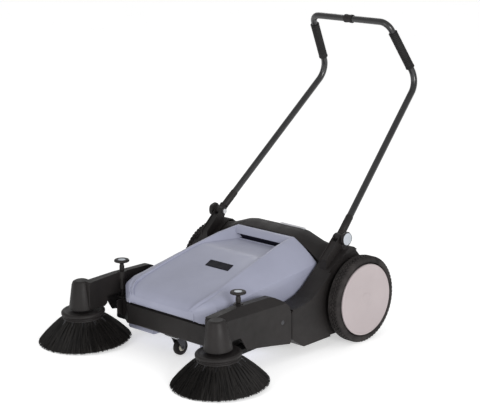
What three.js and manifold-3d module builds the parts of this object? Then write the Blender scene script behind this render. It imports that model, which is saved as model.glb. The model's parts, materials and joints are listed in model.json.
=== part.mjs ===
// Walk-behind push sweeper, millimetres, +Z up, the front looks along -Y.
// Origin: on the floor, under the middle of the whole machine's box.
import * as THREE from 'three';
import { mergeVertices } from 'three/addons/utils/BufferGeometryUtils.js';
import Module from 'manifold-3d';

const wasm = await Module();
wasm.setup();

// ---- Driving dimensions -------------------------------------------------

const GAP = 0.3; // clearance between pieces that touch
const WALL = 3.5; // moulded plastic wall

// Wheels
const AXLE_Y = 158;
const WHEEL_R = 141;
const AXLE_Z = WHEEL_R;
const AXLE_R = 8;
const TYRE_X = [307, 355]; // inner and outer side wall
const RIM_R = 119;
const HUBCAP_R = 117;
const HUBCAP_FACE_X = 357;

// Wheel gear and the pinion it drives
const GEAR_MODULE = 5;
const DRIVE_TEETH = 36;
const PINION_TEETH = 24;
const GEAR_DISTANCE = (GEAR_MODULE * (DRIVE_TEETH + PINION_TEETH)) / 2;
const GEAR_X = [245, 259];

// Main brush
const BRUSH_Y = 11;
const BRUSH_Z = AXLE_Z - Math.sqrt(GEAR_DISTANCE ** 2 - (AXLE_Y - BRUSH_Y) ** 2);
const BRUSH_R = BRUSH_Z - 1;
const BRUSH_HALF = 218;
const BRUSH_SHAFT_R = 9;

// Side brush arms
const PIVOT_Y = -182;
const PIVOT_Z = 132;
const PIVOT_R = 8;
const ARM_X = [262, 308]; // inner and outer cheek faces
const SIDE_BRUSH_X = 308.5;
const SIDE_BRUSH_Y = -458; // where the spindle axis meets the floor
const SIDE_BRUSH_R = 151.5;
const SIDE_TILT = Math.atan(0.06); // the spindle leans, so the front tips touch down
const KNOB_X = 263.75;
const KNOB_Y = -333;
const KNOB_TOP_Z = 258;

// Belts
const PULLEY_R = 24;
const BELT_T = 5;
const DRIVE_BELT_X = [272, 280];

// Frame
const PANEL_X = [232, 236]; // inner side panel
const HOUSING_X = [236.3, 308]; // side housing, inner edge and outer face
const ARCH_R = 157; // wheel arch cut in the outer face
const BUMPER_Z = [69, 141];
const BUMPER_Y = [-385, -352];
const BUMPER_HALF = 222;
const SWEEP_X = 172; // the bumper's ends sweep back beyond this

// Hopper
const TUB_X = 224;
const TUB_FLOOR_Z = 40;
const TUB_REAR_Y = -126;

// Handle
const HINGE = new THREE.Vector3(268, 125, 338);
const BEND = new THREE.Vector3(202, 594.5, 779);
const TOP = new THREE.Vector3(167, 477, 984);
const BEND_R = 62;
const TOP_BEND_R = 38;
const TUBE_R = 11;
const CHEEK_X = [253.4, 257.4, 278.6, 282.6]; // the bracket's two cheeks
const SOCKET_R = 12.7;
const GRIP_R = 15.5;

// Front caster
const CASTER_X = 14;
const CASTER_Y = -352;
const CASTER_R = 26;
const CASTER_TRAIL = 12;

// ---- Finishes -----------------------------------------------------------

const finish = (color, roughness, metalness = 0) => ({ color, roughness, metalness });
const BLACK = finish(0x2b2a2a, 0.55);
const SLATE = finish(0xa9adc0, 0.4);
const RUBBER = finish(0x1c1c1c, 0.85);
const HUB_GREY = finish(0xb9b1b1, 0.45);
const STEEL = finish(0xb4b6b8, 0.35, 1);
const TUBE_BLACK = finish(0x151515, 0.35, 0.3);
const BRISTLE = finish(0x1a1918, 0.9);
const NYLON = finish(0xd8d4c6, 0.5);

// ---- Shape helpers ------------------------------------------------------

const group = new THREE.Group();

/** Adds one named sub-part to the machine. */
function place(name, geometry, look, position = [0, 0, 0]) {
  const mesh = new THREE.Mesh(geometry, new THREE.MeshStandardMaterial(look));
  mesh.name = name;
  mesh.position.set(...position);
  group.add(mesh);
}

// Brings the middle of the machine's box over the origin; every length below is ahead of this move.
group.position.y = 9.4;

/** A closed outline from [a, b] pairs. */
const outline = (points) => new THREE.Shape(points.map(([a, b]) => new THREE.Vector2(a, b)));

/** Points of a circle, starting half a step off so that a flat lies at the bottom. */
function circle(a, b, radius, count = 12) {
  return Array.from({ length: count }, (_, i) => {
    const turn = ((i + 0.5) / count) * 2 * Math.PI;
    return [a + radius * Math.cos(turn), b + radius * Math.sin(turn)];
  });
}

function extrude(points, length, holes) {
  const shape = outline(points);
  shape.holes = holes.map((hole) => outline(hole));
  return new THREE.ExtrudeGeometry(shape, { depth: length, bevelEnabled: false });
}

/** Extrudes a [y, z] outline along X. */
function alongX(points, [from, to], holes = []) {
  const basis = new THREE.Matrix4().makeBasis(
    new THREE.Vector3(0, 1, 0), new THREE.Vector3(0, 0, 1), new THREE.Vector3(1, 0, 0));
  return extrude(points, to - from, holes).applyMatrix4(basis).translate(from, 0, 0);
}

/** Extrudes an [x, z] outline along Y. */
function alongY(points, [from, to], holes = []) {
  return extrude(points, to - from, holes).rotateX(Math.PI / 2).translate(0, to, 0);
}

/** Extrudes an [x, y] outline along Z. */
function alongZ(points, [from, to], holes = []) {
  return extrude(points, to - from, holes).translate(0, 0, from);
}

/** A box between two corners. */
function box([x0, y0, z0], [x1, y1, z1]) {
  return new THREE.BoxGeometry(x1 - x0, y1 - y0, z1 - z0)
    .translate((x0 + x1) / 2, (y0 + y1) / 2, (z0 + z1) / 2);
}

/** Turns every face over when the closed skin points inwards. */
function faceOut(geometry) {
  if (volumeOf(geometry) < 0) {
    const index = geometry.index.array;
    for (let i = 0; i < index.length; i += 3) [index[i + 1], index[i + 2]] = [index[i + 2], index[i + 1]];
  }
  return geometry;
}

/** Turns a closed [radius, height] profile round Z. */
function turned(profile, count = 20) {
  const points = profile.map(([r, h]) => new THREE.Vector2(r, h));
  return faceOut(new THREE.LatheGeometry(points, count).rotateX(Math.PI / 2));
}

/** Turns a closed [radius, x] profile round the X axis. */
const turnedX = (profile, count = 20) =>
  turned(profile, count).rotateZ(Math.PI / count).rotateY(Math.PI / 2);

/** The closed profile of a ring, from low to high. */
const ringProfile = (inner, outer, low, high) =>
  [[inner, low], [outer, low], [outer, high], [inner, high], [inner, low]];

/** The closed profile of a solid disc or rod. */
const discProfile = (radius, low, high) => [[0, low], [radius, low], [radius, high], [0, high]];

/** The same geometry on the other side of the machine. */
function mirrored(geometry) {
  const twin = geometry.clone();
  twin.deleteAttribute('normal');
  twin.deleteAttribute('uv');
  const merged = mergeVertices(twin, 1e-4);
  merged.scale(-1, 1, 1);
  const index = merged.index.array;
  for (let i = 0; i < index.length; i += 3) [index[i + 1], index[i + 2]] = [index[i + 2], index[i + 1]];
  return merged;
}

function toSolid(geometry) {
  const plain = geometry.clone();
  plain.deleteAttribute('normal');
  plain.deleteAttribute('uv');
  const merged = mergeVertices(plain, 1e-4);
  return new wasm.Manifold(new wasm.Mesh({
    numProp: 3,
    vertProperties: new Float32Array(merged.attributes.position.array),
    triVerts: new Uint32Array(merged.index.array),
  }));
}

function toGeometry(solid) {
  const mesh = solid.getMesh();
  const geometry = new THREE.BufferGeometry();
  geometry.setAttribute('position', new THREE.BufferAttribute(new Float32Array(mesh.vertProperties), 3));
  geometry.setIndex(new THREE.BufferAttribute(new Uint32Array(mesh.triVerts), 1));
  return geometry;
}

const join = (first, ...others) =>
  toGeometry(others.reduce((sum, next) => sum.add(toSolid(next)), toSolid(first)));
const cut = (first, ...tools) =>
  toGeometry(tools.reduce((rest, tool) => rest.subtract(toSolid(tool)), toSolid(first)));

/** A closed skin over rings that all have the same number of points. */
function loft(rings) {
  const size = rings[0].length;
  const vertices = rings.flat().flatMap((point) => [point.x, point.y, point.z]);
  const index = [];
  for (let ring = 0; ring + 1 < rings.length; ring += 1) {
    for (let i = 0; i < size; i += 1) {
      const a = ring * size + i;
      const b = ring * size + ((i + 1) % size);
      index.push(a, b, b + size, a, b + size, a + size);
    }
  }
  const cap = (ring, turnOver) => {
    const start = ring * size;
    const flat = flatten(rings[ring]);
    const ringTurn = Math.sign(THREE.ShapeUtils.area(flat));
    THREE.ShapeUtils.triangulateShape([...flat], []).forEach(([a, b, c]) => {
      const turn = Math.sign(THREE.ShapeUtils.area([flat[a], flat[b], flat[c]]));
      if ((turn === ringTurn) === turnOver) index.push(start + a, start + c, start + b);
      else index.push(start + a, start + b, start + c);
    });
  };
  cap(0, true);
  cap(rings.length - 1, false);
  const geometry = new THREE.BufferGeometry();
  geometry.setAttribute('position', new THREE.BufferAttribute(new Float32Array(vertices), 3));
  geometry.setIndex(index);
  return faceOut(geometry);
}

/** A ring's points in the plane that it is widest in. */
function flatten(ring) {
  const size = new THREE.Box3().setFromPoints(ring).getSize(new THREE.Vector3());
  if (size.y <= size.x && size.y <= size.z) return ring.map((p) => new THREE.Vector2(p.x, p.z));
  if (size.x <= size.z) return ring.map((p) => new THREE.Vector2(p.y, p.z));
  return ring.map((p) => new THREE.Vector2(p.x, p.y));
}

function volumeOf(geometry) {
  const position = geometry.attributes.position;
  const index = geometry.index.array;
  const corner = (i) => new THREE.Vector3().fromBufferAttribute(position, index[i]);
  let sum = 0;
  for (let i = 0; i < index.length; i += 3) sum += corner(i).dot(corner(i + 1).cross(corner(i + 2)));
  return sum;
}

/** A round bar swept along a path of points. */
function rod(path, radius, steps, sides = 12) {
  const shape = outline(circle(0, 0, radius, sides));
  return new THREE.ExtrudeGeometry(shape, { steps, extrudePath: path, bevelEnabled: false });
}

/** Straight runs through the corners, with each inner corner rounded to a radius. */
function bentPath(corners, radii) {
  const path = new THREE.CurvePath();
  let start = corners[0];
  for (let i = 1; i + 1 < corners.length; i += 1) {
    const back = corners[i - 1].clone().sub(corners[i]).normalize();
    const ahead = corners[i + 1].clone().sub(corners[i]).normalize();
    const trim = radii[i - 1] / Math.tan(back.angleTo(ahead) / 2);
    const from = corners[i].clone().addScaledVector(back, trim);
    const to = corners[i].clone().addScaledVector(ahead, trim);
    path.add(new THREE.LineCurve3(start, from));
    path.add(new THREE.QuadraticBezierCurve3(from, corners[i].clone(), to));
    start = to;
  }
  path.add(new THREE.LineCurve3(start, corners[corners.length - 1]));
  return path;
}

/** A spur gear's outline with straight-sided teeth and working backlash. */
function gearOutline(teeth, module, a, b, turn) {
  const pitch = (module * teeth) / 2;
  const root = pitch - 1.15 * module;
  const tip = pitch + 0.85 * module;
  const corners = [[root, -0.36], [tip, -0.13], [tip, 0.13], [root, 0.36]];
  const points = [];
  for (let tooth = 0; tooth < teeth; tooth += 1) {
    corners.forEach(([radius, share]) => {
      const angle = turn + ((tooth + share) * 2 * Math.PI) / teeth;
      points.push([a + radius * Math.cos(angle), b + radius * Math.sin(angle)]);
    });
  }
  return points;
}

/** Adds a right part and its mirrored left twin. */
function pair(name, geometry, look) {
  place(`right_${name}`, geometry, look);
  place(`left_${name}`, mirrored(geometry), look);
}

// ---- Side frames --------------------------------------------------------

// Upper edge of the side frame, from the arm to the fender, as [y, z]
const SIDE_TOP = [
  [-137, 163], [-122, 163], [-85, 168], [-48, 179], [-15, 198], [18, 226], [56, 258], [90, 283],
  [118, 304], [136, 312], [152, 309], [170, 296], [187, 277], [206, 256],
];
const SIDE_REAR = [[234, 222], [256, 180], [262, 100], [244, 40]];
const SIDE_BOTTOM = [[61, 36], [-86, 32], [-128, 58], [-137, 66]];
const SIDE_OUTLINE = [...SIDE_TOP, ...SIDE_REAR, ...SIDE_BOTTOM].reverse();

/** The side outline, drawn in by a wall's thickness. */
function inset(points, depth) {
  const size = points.length;
  return points.map(([a, b], i) => {
    const [pa, pb] = points[(i + size - 1) % size];
    const [na, nb] = points[(i + 1) % size];
    const before = new THREE.Vector2(a - pa, b - pb).normalize();
    const after = new THREE.Vector2(na - a, nb - b).normalize();
    const normal = new THREE.Vector2(-(before.y + after.y), before.x + after.x).normalize();
    const stretch = Math.max(0.5, normal.x * -before.y + normal.y * before.x);
    return [a + (normal.x * depth) / stretch, b + (normal.y * depth) / stretch];
  });
}

function sideHousing(isLeft) {
  const [inner, outer] = HOUSING_X;
  const skin = 10; // depth of the outer face that the wheel arch is cut from
  const solid = [
    cut(
      join(
        alongX(SIDE_OUTLINE, [inner, outer - skin]),
        cut(
          alongX(SIDE_OUTLINE, [outer - skin - 1, outer]),
          alongX(circle(AXLE_Y, AXLE_Z, ARCH_R, 48), [outer - skin, outer + 1]))),
      alongX(inset(SIDE_OUTLINE, WALL), [inner - 1, outer - skin - WALL]),
      box([inner - 1, -140, 92], [290, -130, 184]),
      alongX(circle(AXLE_Y, AXLE_Z, 23), [inner, outer + 1])),
  ];
  if (isLeft) {
    const stub = alongX(circle(BRUSH_Y, BRUSH_Z, AXLE_R - GAP), [243, outer - skin - 1]);
    solid.push(stub);
  }
  return join(...solid);
}

place('right_side_housing', sideHousing(false), BLACK);
place('left_side_housing', mirrored(sideHousing(true)), BLACK);

// The inner panel carries the axle, the brush bearing, the arm's pivot and the bumper.
const PANEL_OUTLINE = [
  [-383, 92], [-345, 76], [-140, 66], [-128, 58], [-86, 34], [61, 38], [240, 42], [257, 100], [253, 188],
  [232, 240], [202, 278], [158, 298], [130, 290], [94, 262], [56, 246], [18, 214], [-15, 188], [-48, 169], [-85, 158],
  [-140, 153], [-200, 158], [-240, 140], [-383, 136],
];

function innerPanel() {
  const [x0, x1] = PANEL_X;
  const shelf = join(
    box([x1 - 1, KNOB_Y - 12, 132], [KNOB_X + 12, KNOB_Y + 12, 136]),
    box([x1 - 1, KNOB_Y - 2, 104], [KNOB_X, KNOB_Y + 2, 133]));
  return cut(
    join(
      alongX(PANEL_OUTLINE, PANEL_X),
      alongX(circle(PIVOT_Y, PIVOT_Z, 15), [x0 + 1, ARM_X[0] - 2]),
      alongX(circle(BRUSH_Y, BRUSH_Z, 23), [x0 - 5, x1 - 1]),
      shelf),
    alongX(circle(AXLE_Y, AXLE_Z, AXLE_R + GAP), [x0 - 1, x1 + 1]),
    alongX(circle(PIVOT_Y, PIVOT_Z, PIVOT_R + GAP), [x0 - 1, ARM_X[0]]),
    alongX(circle(BRUSH_Y, BRUSH_Z, 17 + GAP), [x0 - 6, x1 + 1]));
}
pair('inner_panel', innerPanel(), BLACK);

pair('brush_bearing', alongX(
  circle(BRUSH_Y, BRUSH_Z, 17), [PANEL_X[0] - 4, PANEL_X[1] + 2],
  [circle(BRUSH_Y, BRUSH_Z, BRUSH_SHAFT_R + 2 * GAP)]), STEEL);

pair('pivot_pin', alongX(
  circle(PIVOT_Y, PIVOT_Z, PIVOT_R), [PANEL_X[0] - 1, ARM_X[1] - 0.5]), STEEL);

place('wheel_axle', alongX(circle(0, 0, AXLE_R), [-348, 348]), STEEL, [0, AXLE_Y, AXLE_Z]);

// ---- Front bumper -------------------------------------------------------

function frontBumper() {
  const [z0, z1] = BUMPER_Z;
  const [front, back] = BUMPER_Y;
  const bar = alongX([
    [back, z1 - 2], [front + 6, z1], [front, z1 - 6], [front, z0 + 6], [front + 6, z0], [back, z0 + 2],
  ], [-BUMPER_HALF, BUMPER_HALF]);
  const channel = box([-SWEEP_X, front + 5, z0 - 1], [SWEEP_X, back + 1, z1 - 8]);
  const ribs = [-90, 0, 90].map((x) => box([x - 2, front + 2, z0 + 4], [x + 2, back - 1, z1 - 6]));
  const sweep = alongZ([
    [SWEEP_X + 8, front - 1], [BUMPER_HALF + 1, front - 1], [BUMPER_HALF + 1, back - 8],
  ], [z0 - 1, z1 + 1]);
  const pad = box([CASTER_X - 28, front + 3, z0], [CASTER_X + 28, back - 1, z0 + 5]);
  const tab = box([BUMPER_HALF - 6, back - 7, 80], [PANEL_X[0] - GAP, back - 1, 134]);
  return join(cut(bar, channel, sweep, mirrored(sweep)), ...ribs, pad, tab, mirrored(tab));
}
place('front_bumper', frontBumper(), BLACK);

// ---- Rear cover, rear panel and skirt -----------------------------------

// Half widths across the cover, with the height of its front edge and of its crown
const COVER_STATIONS = [
  { x: 0, lip: 326, crown: 339 }, { x: 100, lip: 325, crown: 339 }, { x: 128, lip: 318, crown: 335 },
  { x: 190, lip: 288, crown: 314 }, { x: 222, lip: 268, crown: 308 }, { x: 231.5, lip: 262, crown: 306 },
];

function rearCover() {
  const section = ({ lip, crown }, x) => {
    const outer = [
      [72, lip], [96, (lip + crown) / 2 + 5], [122, crown], [138, crown - 2], [156, crown - 16],
      [186, crown - 70], [208, 150],
    ];
    const inner = outer.map(([y, z], i) => [y - 0.6 * i, z - WALL]).reverse();
    return [...outer, ...inner].map(([y, z]) => new THREE.Vector3(x, y, z));
  };
  const half = COVER_STATIONS.map((station) => section(station, station.x));
  const other = COVER_STATIONS.slice(1).reverse().map((station) => section(station, -station.x));
  return loft([...other, ...half]);
}
place('rear_cover', rearCover(), BLACK);

place('rear_panel', alongX([
  [201, 145], [205, 145], [201, 60], [192, 60], [192, 64], [197, 64],
], [-231.5, 231.5]), BLACK);
place('rear_skirt', alongX([
  [201.5, 92], [205, 92], [209, 8], [206, 8],
].map(([y, z]) => [y + 1.5, z]), [-228, 228]), RUBBER);

// ---- Handle brackets ----------------------------------------------------

const lowerRun = BEND.clone().sub(HINGE).normalize();
const lean = new THREE.Vector2(lowerRun.y, lowerRun.z).normalize();

/** A [y, z] point by its distance from the hinge along the handle's lower run, and across it. */
const fromHinge = (along, across) => [
  HINGE.y + lean.x * along - lean.y * across,
  HINGE.z + lean.y * along + lean.x * across,
];

/** Half a circle round the hinge, from across = radius to across = -radius, over the top or below. */
function hingeArc(radius, count = 8) {
  return Array.from({ length: count + 1 }, (_, i) => {
    const turn = (i / count - 0.5) * Math.PI;
    return fromHinge(radius * Math.cos(turn), -radius * Math.sin(turn));
  });
}

/** Two cheeks in line with the handle, on a block that stands on the side frame. */
function handleBracket() {
  const toe = [[112, 296], [60, 250], [44, 240], [46, 262]];
  const cheek = [...hingeArc(13.5), ...toe.slice(0, 3), toe[3], fromHinge(-98, 13.5)];
  const block = [fromHinge(-25, 11), fromHinge(-25, -11), ...toe, fromHinge(-96, 11)];
  return cut(
    join(
      alongX(cheek, [CHEEK_X[0], CHEEK_X[1]]),
      alongX(cheek, [CHEEK_X[2], CHEEK_X[3]]),
      alongX(block, [CHEEK_X[0] + 1, CHEEK_X[3] - 1])),
    alongX(circle(HINGE.y, HINGE.z, 5 + GAP, 16), [CHEEK_X[0] - 1, CHEEK_X[3] + 1]));
}
const housingTop = alongX(SIDE_OUTLINE, [HOUSING_X[0] - 1, HOUSING_X[1] + 1]);
const liftedTop = housingTop.clone().translate(0, -0.2, GAP);
pair('handle_bracket', cut(handleBracket(), liftedTop), BLACK);
pair('clamp_bolt', join(
  alongX(circle(HINGE.y, HINGE.z, 5, 16), [252, 295]),
  alongX(circle(HINGE.y, HINGE.z, 9, 6), [246.5, CHEEK_X[0] - GAP])), STEEL);

// ---- Wheels and drive gears ---------------------------------------------

const TYRE_FLATS = 32;
const treadR = WHEEL_R / Math.cos(Math.PI / TYRE_FLATS); // so that a flat of the tread lies on the floor
const tyre = turnedX([
  [RIM_R + 4 * GAP, TYRE_X[0] + 3], [treadR - 7, TYRE_X[0]], [treadR, TYRE_X[0] + 7],
  [treadR, TYRE_X[1] - 7], [treadR - 7, TYRE_X[1]], [RIM_R + 4 * GAP, TYRE_X[1] - 3],
  [RIM_R + 4 * GAP, TYRE_X[0] + 3],
], TYRE_FLATS);
const rim = turnedX([
  [AXLE_R + GAP, 322], [30, 322], [34, 334], [RIM_R - 8, 334], [RIM_R - 8, 311], [RIM_R, 311],
  [RIM_R, 350], [RIM_R - 4, 350], [RIM_R - 6, 339], [34, 339], [30, 349], [AXLE_R + GAP, 349],
  [AXLE_R + GAP, 322],
], 24);
const hubcap = turnedX([
  [0, 350.5], [HUBCAP_R, 350.5], [HUBCAP_R, 355], [HUBCAP_R - 2.5, HUBCAP_FACE_X], [0, HUBCAP_FACE_X],
], 28);
const driveGear = cut(
  join(
    alongX(gearOutline(DRIVE_TEETH, GEAR_MODULE, 0, 0, 0), GEAR_X),
    alongX(circle(0, 0, 20), [GEAR_X[1] - 1, 321.5])),
  alongX(circle(0, 0, AXLE_R + GAP), [GEAR_X[0] - 1, 330]));

for (const [side, mirror] of [['right', (g) => g], ['left', mirrored]]) {
  const hub = [0, AXLE_Y, AXLE_Z];
  place(`${side}_tyre`, mirror(tyre), RUBBER, hub);
  place(`${side}_wheel_rim`, mirror(rim), BLACK, hub);
  place(`${side}_hubcap`, mirror(hubcap), HUB_GREY, hub);
  place(`${side}_drive_gear`, mirror(driveGear), NYLON, hub);
}

// ---- Main brush and cluster pinions -------------------------------------

const brushAt = [0, BRUSH_Y, BRUSH_Z];
place('main_brush_shaft', alongX(circle(0, 0, BRUSH_SHAFT_R), [-240, 292]), STEEL, brushAt);
place('main_brush_core', turnedX(
  ringProfile(BRUSH_SHAFT_R + GAP, 46, -BRUSH_HALF + 4, BRUSH_HALF - 4), 24), NYLON, brushAt);

/** Eight twisted rows of bristles round the core, as one body. */
function mainBristles() {
  const rows = 8;
  const steps = 6;
  const section = (x, twist) => {
    const ring = [];
    for (let row = 0; row < rows; row += 1) {
      [[58, -0.42], [BRUSH_R, -0.24], [BRUSH_R, 0.24], [58, 0.42]].forEach(([radius, share]) => {
        const angle = twist + ((row + share) * 2 * Math.PI) / rows;
        ring.push(new THREE.Vector3(x, radius * Math.cos(angle), radius * Math.sin(angle)));
      });
    }
    return ring;
  };
  const rings = Array.from({ length: steps + 1 }, (_, i) =>
    section(-BRUSH_HALF + (2 * BRUSH_HALF * i) / steps, (i / steps) * (Math.PI / 4) + Math.PI / 8));
  return cut(loft(rings), alongX(circle(0, 0, 48), [-BRUSH_HALF - 1, BRUSH_HALF + 1]));
}
place('main_brush_bristles', mainBristles(), BRISTLE, brushAt);

// Meshing: a drive gear tooth points along the line of centres, a pinion gap faces it.
const lineOfCentres = Math.atan2(BRUSH_Z - AXLE_Z, BRUSH_Y - AXLE_Y);
const toothStep = (2 * Math.PI) / DRIVE_TEETH;
const offTooth = lineOfCentres - Math.round(lineOfCentres / toothStep) * toothStep;
const pinionTurn = lineOfCentres + Math.PI + (offTooth * DRIVE_TEETH) / PINION_TEETH
  + Math.PI / PINION_TEETH;

function clusterPinion(bore) {
  const flange = PULLEY_R + BELT_T + 2;
  return cut(
    join(
      alongX(gearOutline(PINION_TEETH, GEAR_MODULE, 0, 0, pinionTurn), [GEAR_X[0], GEAR_X[1] + 1]),
      alongX(circle(0, 0, flange), [GEAR_X[1], DRIVE_BELT_X[0] - 1]),
      alongX(circle(0, 0, PULLEY_R - GAP), [DRIVE_BELT_X[0] - 2, DRIVE_BELT_X[1] + 2]),
      alongX(circle(0, 0, flange), [DRIVE_BELT_X[1] + 1, DRIVE_BELT_X[1] + 4])),
    alongX(circle(0, 0, bore), [GEAR_X[0] - 1, 300]));
}
place('right_cluster_pinion', clusterPinion(BRUSH_SHAFT_R + GAP), NYLON, brushAt);
place('left_cluster_pinion', mirrored(clusterPinion(AXLE_R + GAP)), NYLON, brushAt);

// ---- Belts and pivot pulleys --------------------------------------------

/** The outline of a belt round two pulleys of the same size, at a radius. */
function beltLoop(radius, arcSteps = 10) {
  const ahead = Math.atan2(BRUSH_Z - PIVOT_Z, BRUSH_Y - PIVOT_Y);
  const arc = (y, z, from) => Array.from({ length: arcSteps + 1 }, (_, i) => {
    const angle = from + (i / arcSteps) * Math.PI;
    return [y + radius * Math.cos(angle), z + radius * Math.sin(angle)];
  });
  return [
    ...arc(BRUSH_Y, BRUSH_Z, ahead - Math.PI / 2),
    ...arc(PIVOT_Y, PIVOT_Z, ahead + Math.PI / 2),
  ];
}
pair('drive_belt', alongX(beltLoop(PULLEY_R + BELT_T), DRIVE_BELT_X, [beltLoop(PULLEY_R + 0.3)]), RUBBER);

const pivotPulley = cut(
  join(
    alongX(circle(0, 0, PULLEY_R - GAP), [DRIVE_BELT_X[0] - 2, DRIVE_BELT_X[1] + 2]),
    ...[
      [DRIVE_BELT_X[0] - 3, DRIVE_BELT_X[0] - 1], [DRIVE_BELT_X[1] + 1, DRIVE_BELT_X[1] + 4],
    ].map((span) => alongX(circle(0, 0, PULLEY_R + 8), span))),
  alongX(circle(0, 0, PIVOT_R + GAP), [DRIVE_BELT_X[0] - 10, ARM_X[1]]));
for (const [side, mirror] of [['right', (g) => g], ['left', mirrored]]) {
  place(`${side}_pivot_pulley`, mirror(pivotPulley), NYLON, [0, PIVOT_Y, PIVOT_Z]);
}

// ---- Side brushes -------------------------------------------------------

// Geometry about the spindle: Z up the spindle, zero where the front tips meet the floor.
const SPINDLE_FOOT_Z = SIDE_BRUSH_R * Math.sin(SIDE_TILT) + 0.05;
const PLATE_H = 92;
const spindle = (geometry) => geometry.rotateX(SIDE_TILT)
  .translate(SIDE_BRUSH_X, SIDE_BRUSH_Y, SPINDLE_FOOT_Z);

pair('side_brush_bristles', spindle(turned([
  [46, PLATE_H - 6], [68, PLATE_H - 6], [80, 74], [SIDE_BRUSH_R, 6], [SIDE_BRUSH_R, 0],
  [SIDE_BRUSH_R - 26, 0], [62, 70], [46, PLATE_H - 6],
], 24)), BRISTLE);
pair('side_brush_plate', spindle(turned([
  [6 + GAP, PLATE_H - 5.6], [70, PLATE_H - 5.6], [75, PLATE_H + 4], [75, PLATE_H + 9],
  [70, PLATE_H + 11], [36, PLATE_H + 6], [6 + GAP, PLATE_H + 6], [6 + GAP, PLATE_H - 5.6],
], 20)), BLACK);
const TOWER_BELT_H = 148; // height of the pulley on the spindle
const TOWER_PULLEY_R = 17;
pair('side_brush_spindle', spindle(join(
  turned(discProfile(6, PLATE_H - 20, 178), 12),
  turned([[0, PLATE_H + 6.3], [16, PLATE_H + 6.3], [14, PLATE_H + 16], [0, PLATE_H + 16]], 12),
  turned([
    [0, TOWER_BELT_H - 9], [TOWER_PULLEY_R + 7, TOWER_BELT_H - 9], [TOWER_PULLEY_R, TOWER_BELT_H - 5],
    [TOWER_PULLEY_R, TOWER_BELT_H + 5], [TOWER_PULLEY_R + 7, TOWER_BELT_H + 9], [0, TOWER_BELT_H + 9],
  ], 16))), STEEL);

// ---- Side brush arms ----------------------------------------------------

// The arm's cover in side view, as [y, z]
const ARM_OUTLINE = [
  [-470, 118], [-410, 118], [-400, 126], [-368, 126], [-342, 84], [-241, 70], [-150, 56],
  [-145, 64], [-144, 150], [-152, 178], [-178, 200], [-200, 212], [-215, 217], [-350, 217],
  [-440, 210], [-470, 207],
];
const SHOULDER = [[282, 222], [320, 222], [320, 177]]; // cut off the outer top edge, as [x, z]

function armHousing() {
  const [inner, outer] = ARM_X;
  const lower = (points, depth) => points.map(([x, z]) => [x - depth, z - depth]);
  const body = cut(alongX(ARM_OUTLINE, [inner, outer]), alongY(SHOULDER, [-480, -130]));
  const towerShell = spindle(turned([
    [0, 108], [44, 108], [43.5, 114], [30, 188], [26, 196], [20, 199], [0, 199],
  ], 24));
  const towerRoom = spindle(turned([[0, 90], [40, 90], [39.5, 114], [26.5, 186], [0, 186]], 16));
  const spindleSleeve = spindle(turned(ringProfile(6 + GAP, 12, 160, 192), 12));
  const room = cut(
    alongX([
      [-470, 40], [-130, 40], [-130, 150], [-156, 172], [-181, 194], [-202, 206], [-217, 212],
      [-350, 212], [-440, 205], [-470, 202],
    ], [inner + 4, outer - 4]),
    alongY(lower(SHOULDER, 3), [-480, -120]));
  const innerRelief = box([inner - 1, -400, 40], [inner + 5, -214, 150]);
  const knobBoss = turned(discProfile(15, 196, 219), 16).translate(KNOB_X, KNOB_Y, 0);
  const knobSleeve = turned(discProfile(11, 160, 200), 12).translate(KNOB_X, KNOB_Y, 0);
  const screwHole = turned(discProfile(5 + GAP, 120, 240), 12).translate(KNOB_X, KNOB_Y, 0);
  const pinHole = alongX(circle(PIVOT_Y, PIVOT_Z, PIVOT_R + GAP), [inner - 1, outer + 1]);
  return cut(
    join(cut(join(body, towerShell), room, towerRoom), spindleSleeve, knobBoss, knobSleeve),
    innerRelief, screwHole, pinHole);
}
pair('arm_housing', armHousing(), BLACK);

pair('height_knob', turned([
  [0, 136.3], [5, 136.3], [5, 220], [8, 220], [8, 236], [6, 242], [12, 248], [24, 250],
  [25, 252.5], [24, KNOB_TOP_Z - 2], [20, KNOB_TOP_Z], [0, KNOB_TOP_Z],
], 16).translate(KNOB_X, KNOB_Y, 0), BLACK);

// ---- Hopper -------------------------------------------------------------

// Stations along the lid: ridge is the crease beside the flat top, crease the edge of the side wall.
const LID_STATIONS = [
  { y: 66, ridgeX: 119, ridgeZ: 324, creaseX: 225, creaseZ: 258, skirtZ: 200 },
  { y: 40, ridgeX: 121, ridgeZ: 321, creaseX: 225, creaseZ: 252, skirtZ: 190 },
  { y: -19, ridgeX: 128, ridgeZ: 312, creaseX: 225, creaseZ: 244, skirtZ: 150 },
  { y: -103, ridgeX: 136, ridgeZ: 292, creaseX: 225, creaseZ: 235, skirtZ: 146 },
  { y: -186, ridgeX: 144, ridgeZ: 270, creaseX: 225, creaseZ: 224, skirtZ: 146 },
  { y: -268, ridgeX: 152, ridgeZ: 246, creaseX: 225, creaseZ: 212, skirtZ: 146 },
  { y: -330, ridgeX: 158, ridgeZ: 227, creaseX: 222, creaseZ: 202, skirtZ: 146 },
  { y: -368, ridgeX: 158, ridgeZ: 214, creaseX: 208, creaseZ: 192, skirtZ: 146 },
  { y: -388, ridgeX: 152, ridgeZ: 203, creaseX: 184, creaseZ: 184, skirtZ: 146 },
  { y: -400, ridgeX: 146, ridgeZ: 192, creaseX: 164, creaseZ: 176, skirtZ: 148 },
  { y: -407, ridgeX: 136, ridgeZ: 180, creaseX: 148, creaseZ: 172, skirtZ: 154 },
];

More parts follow.
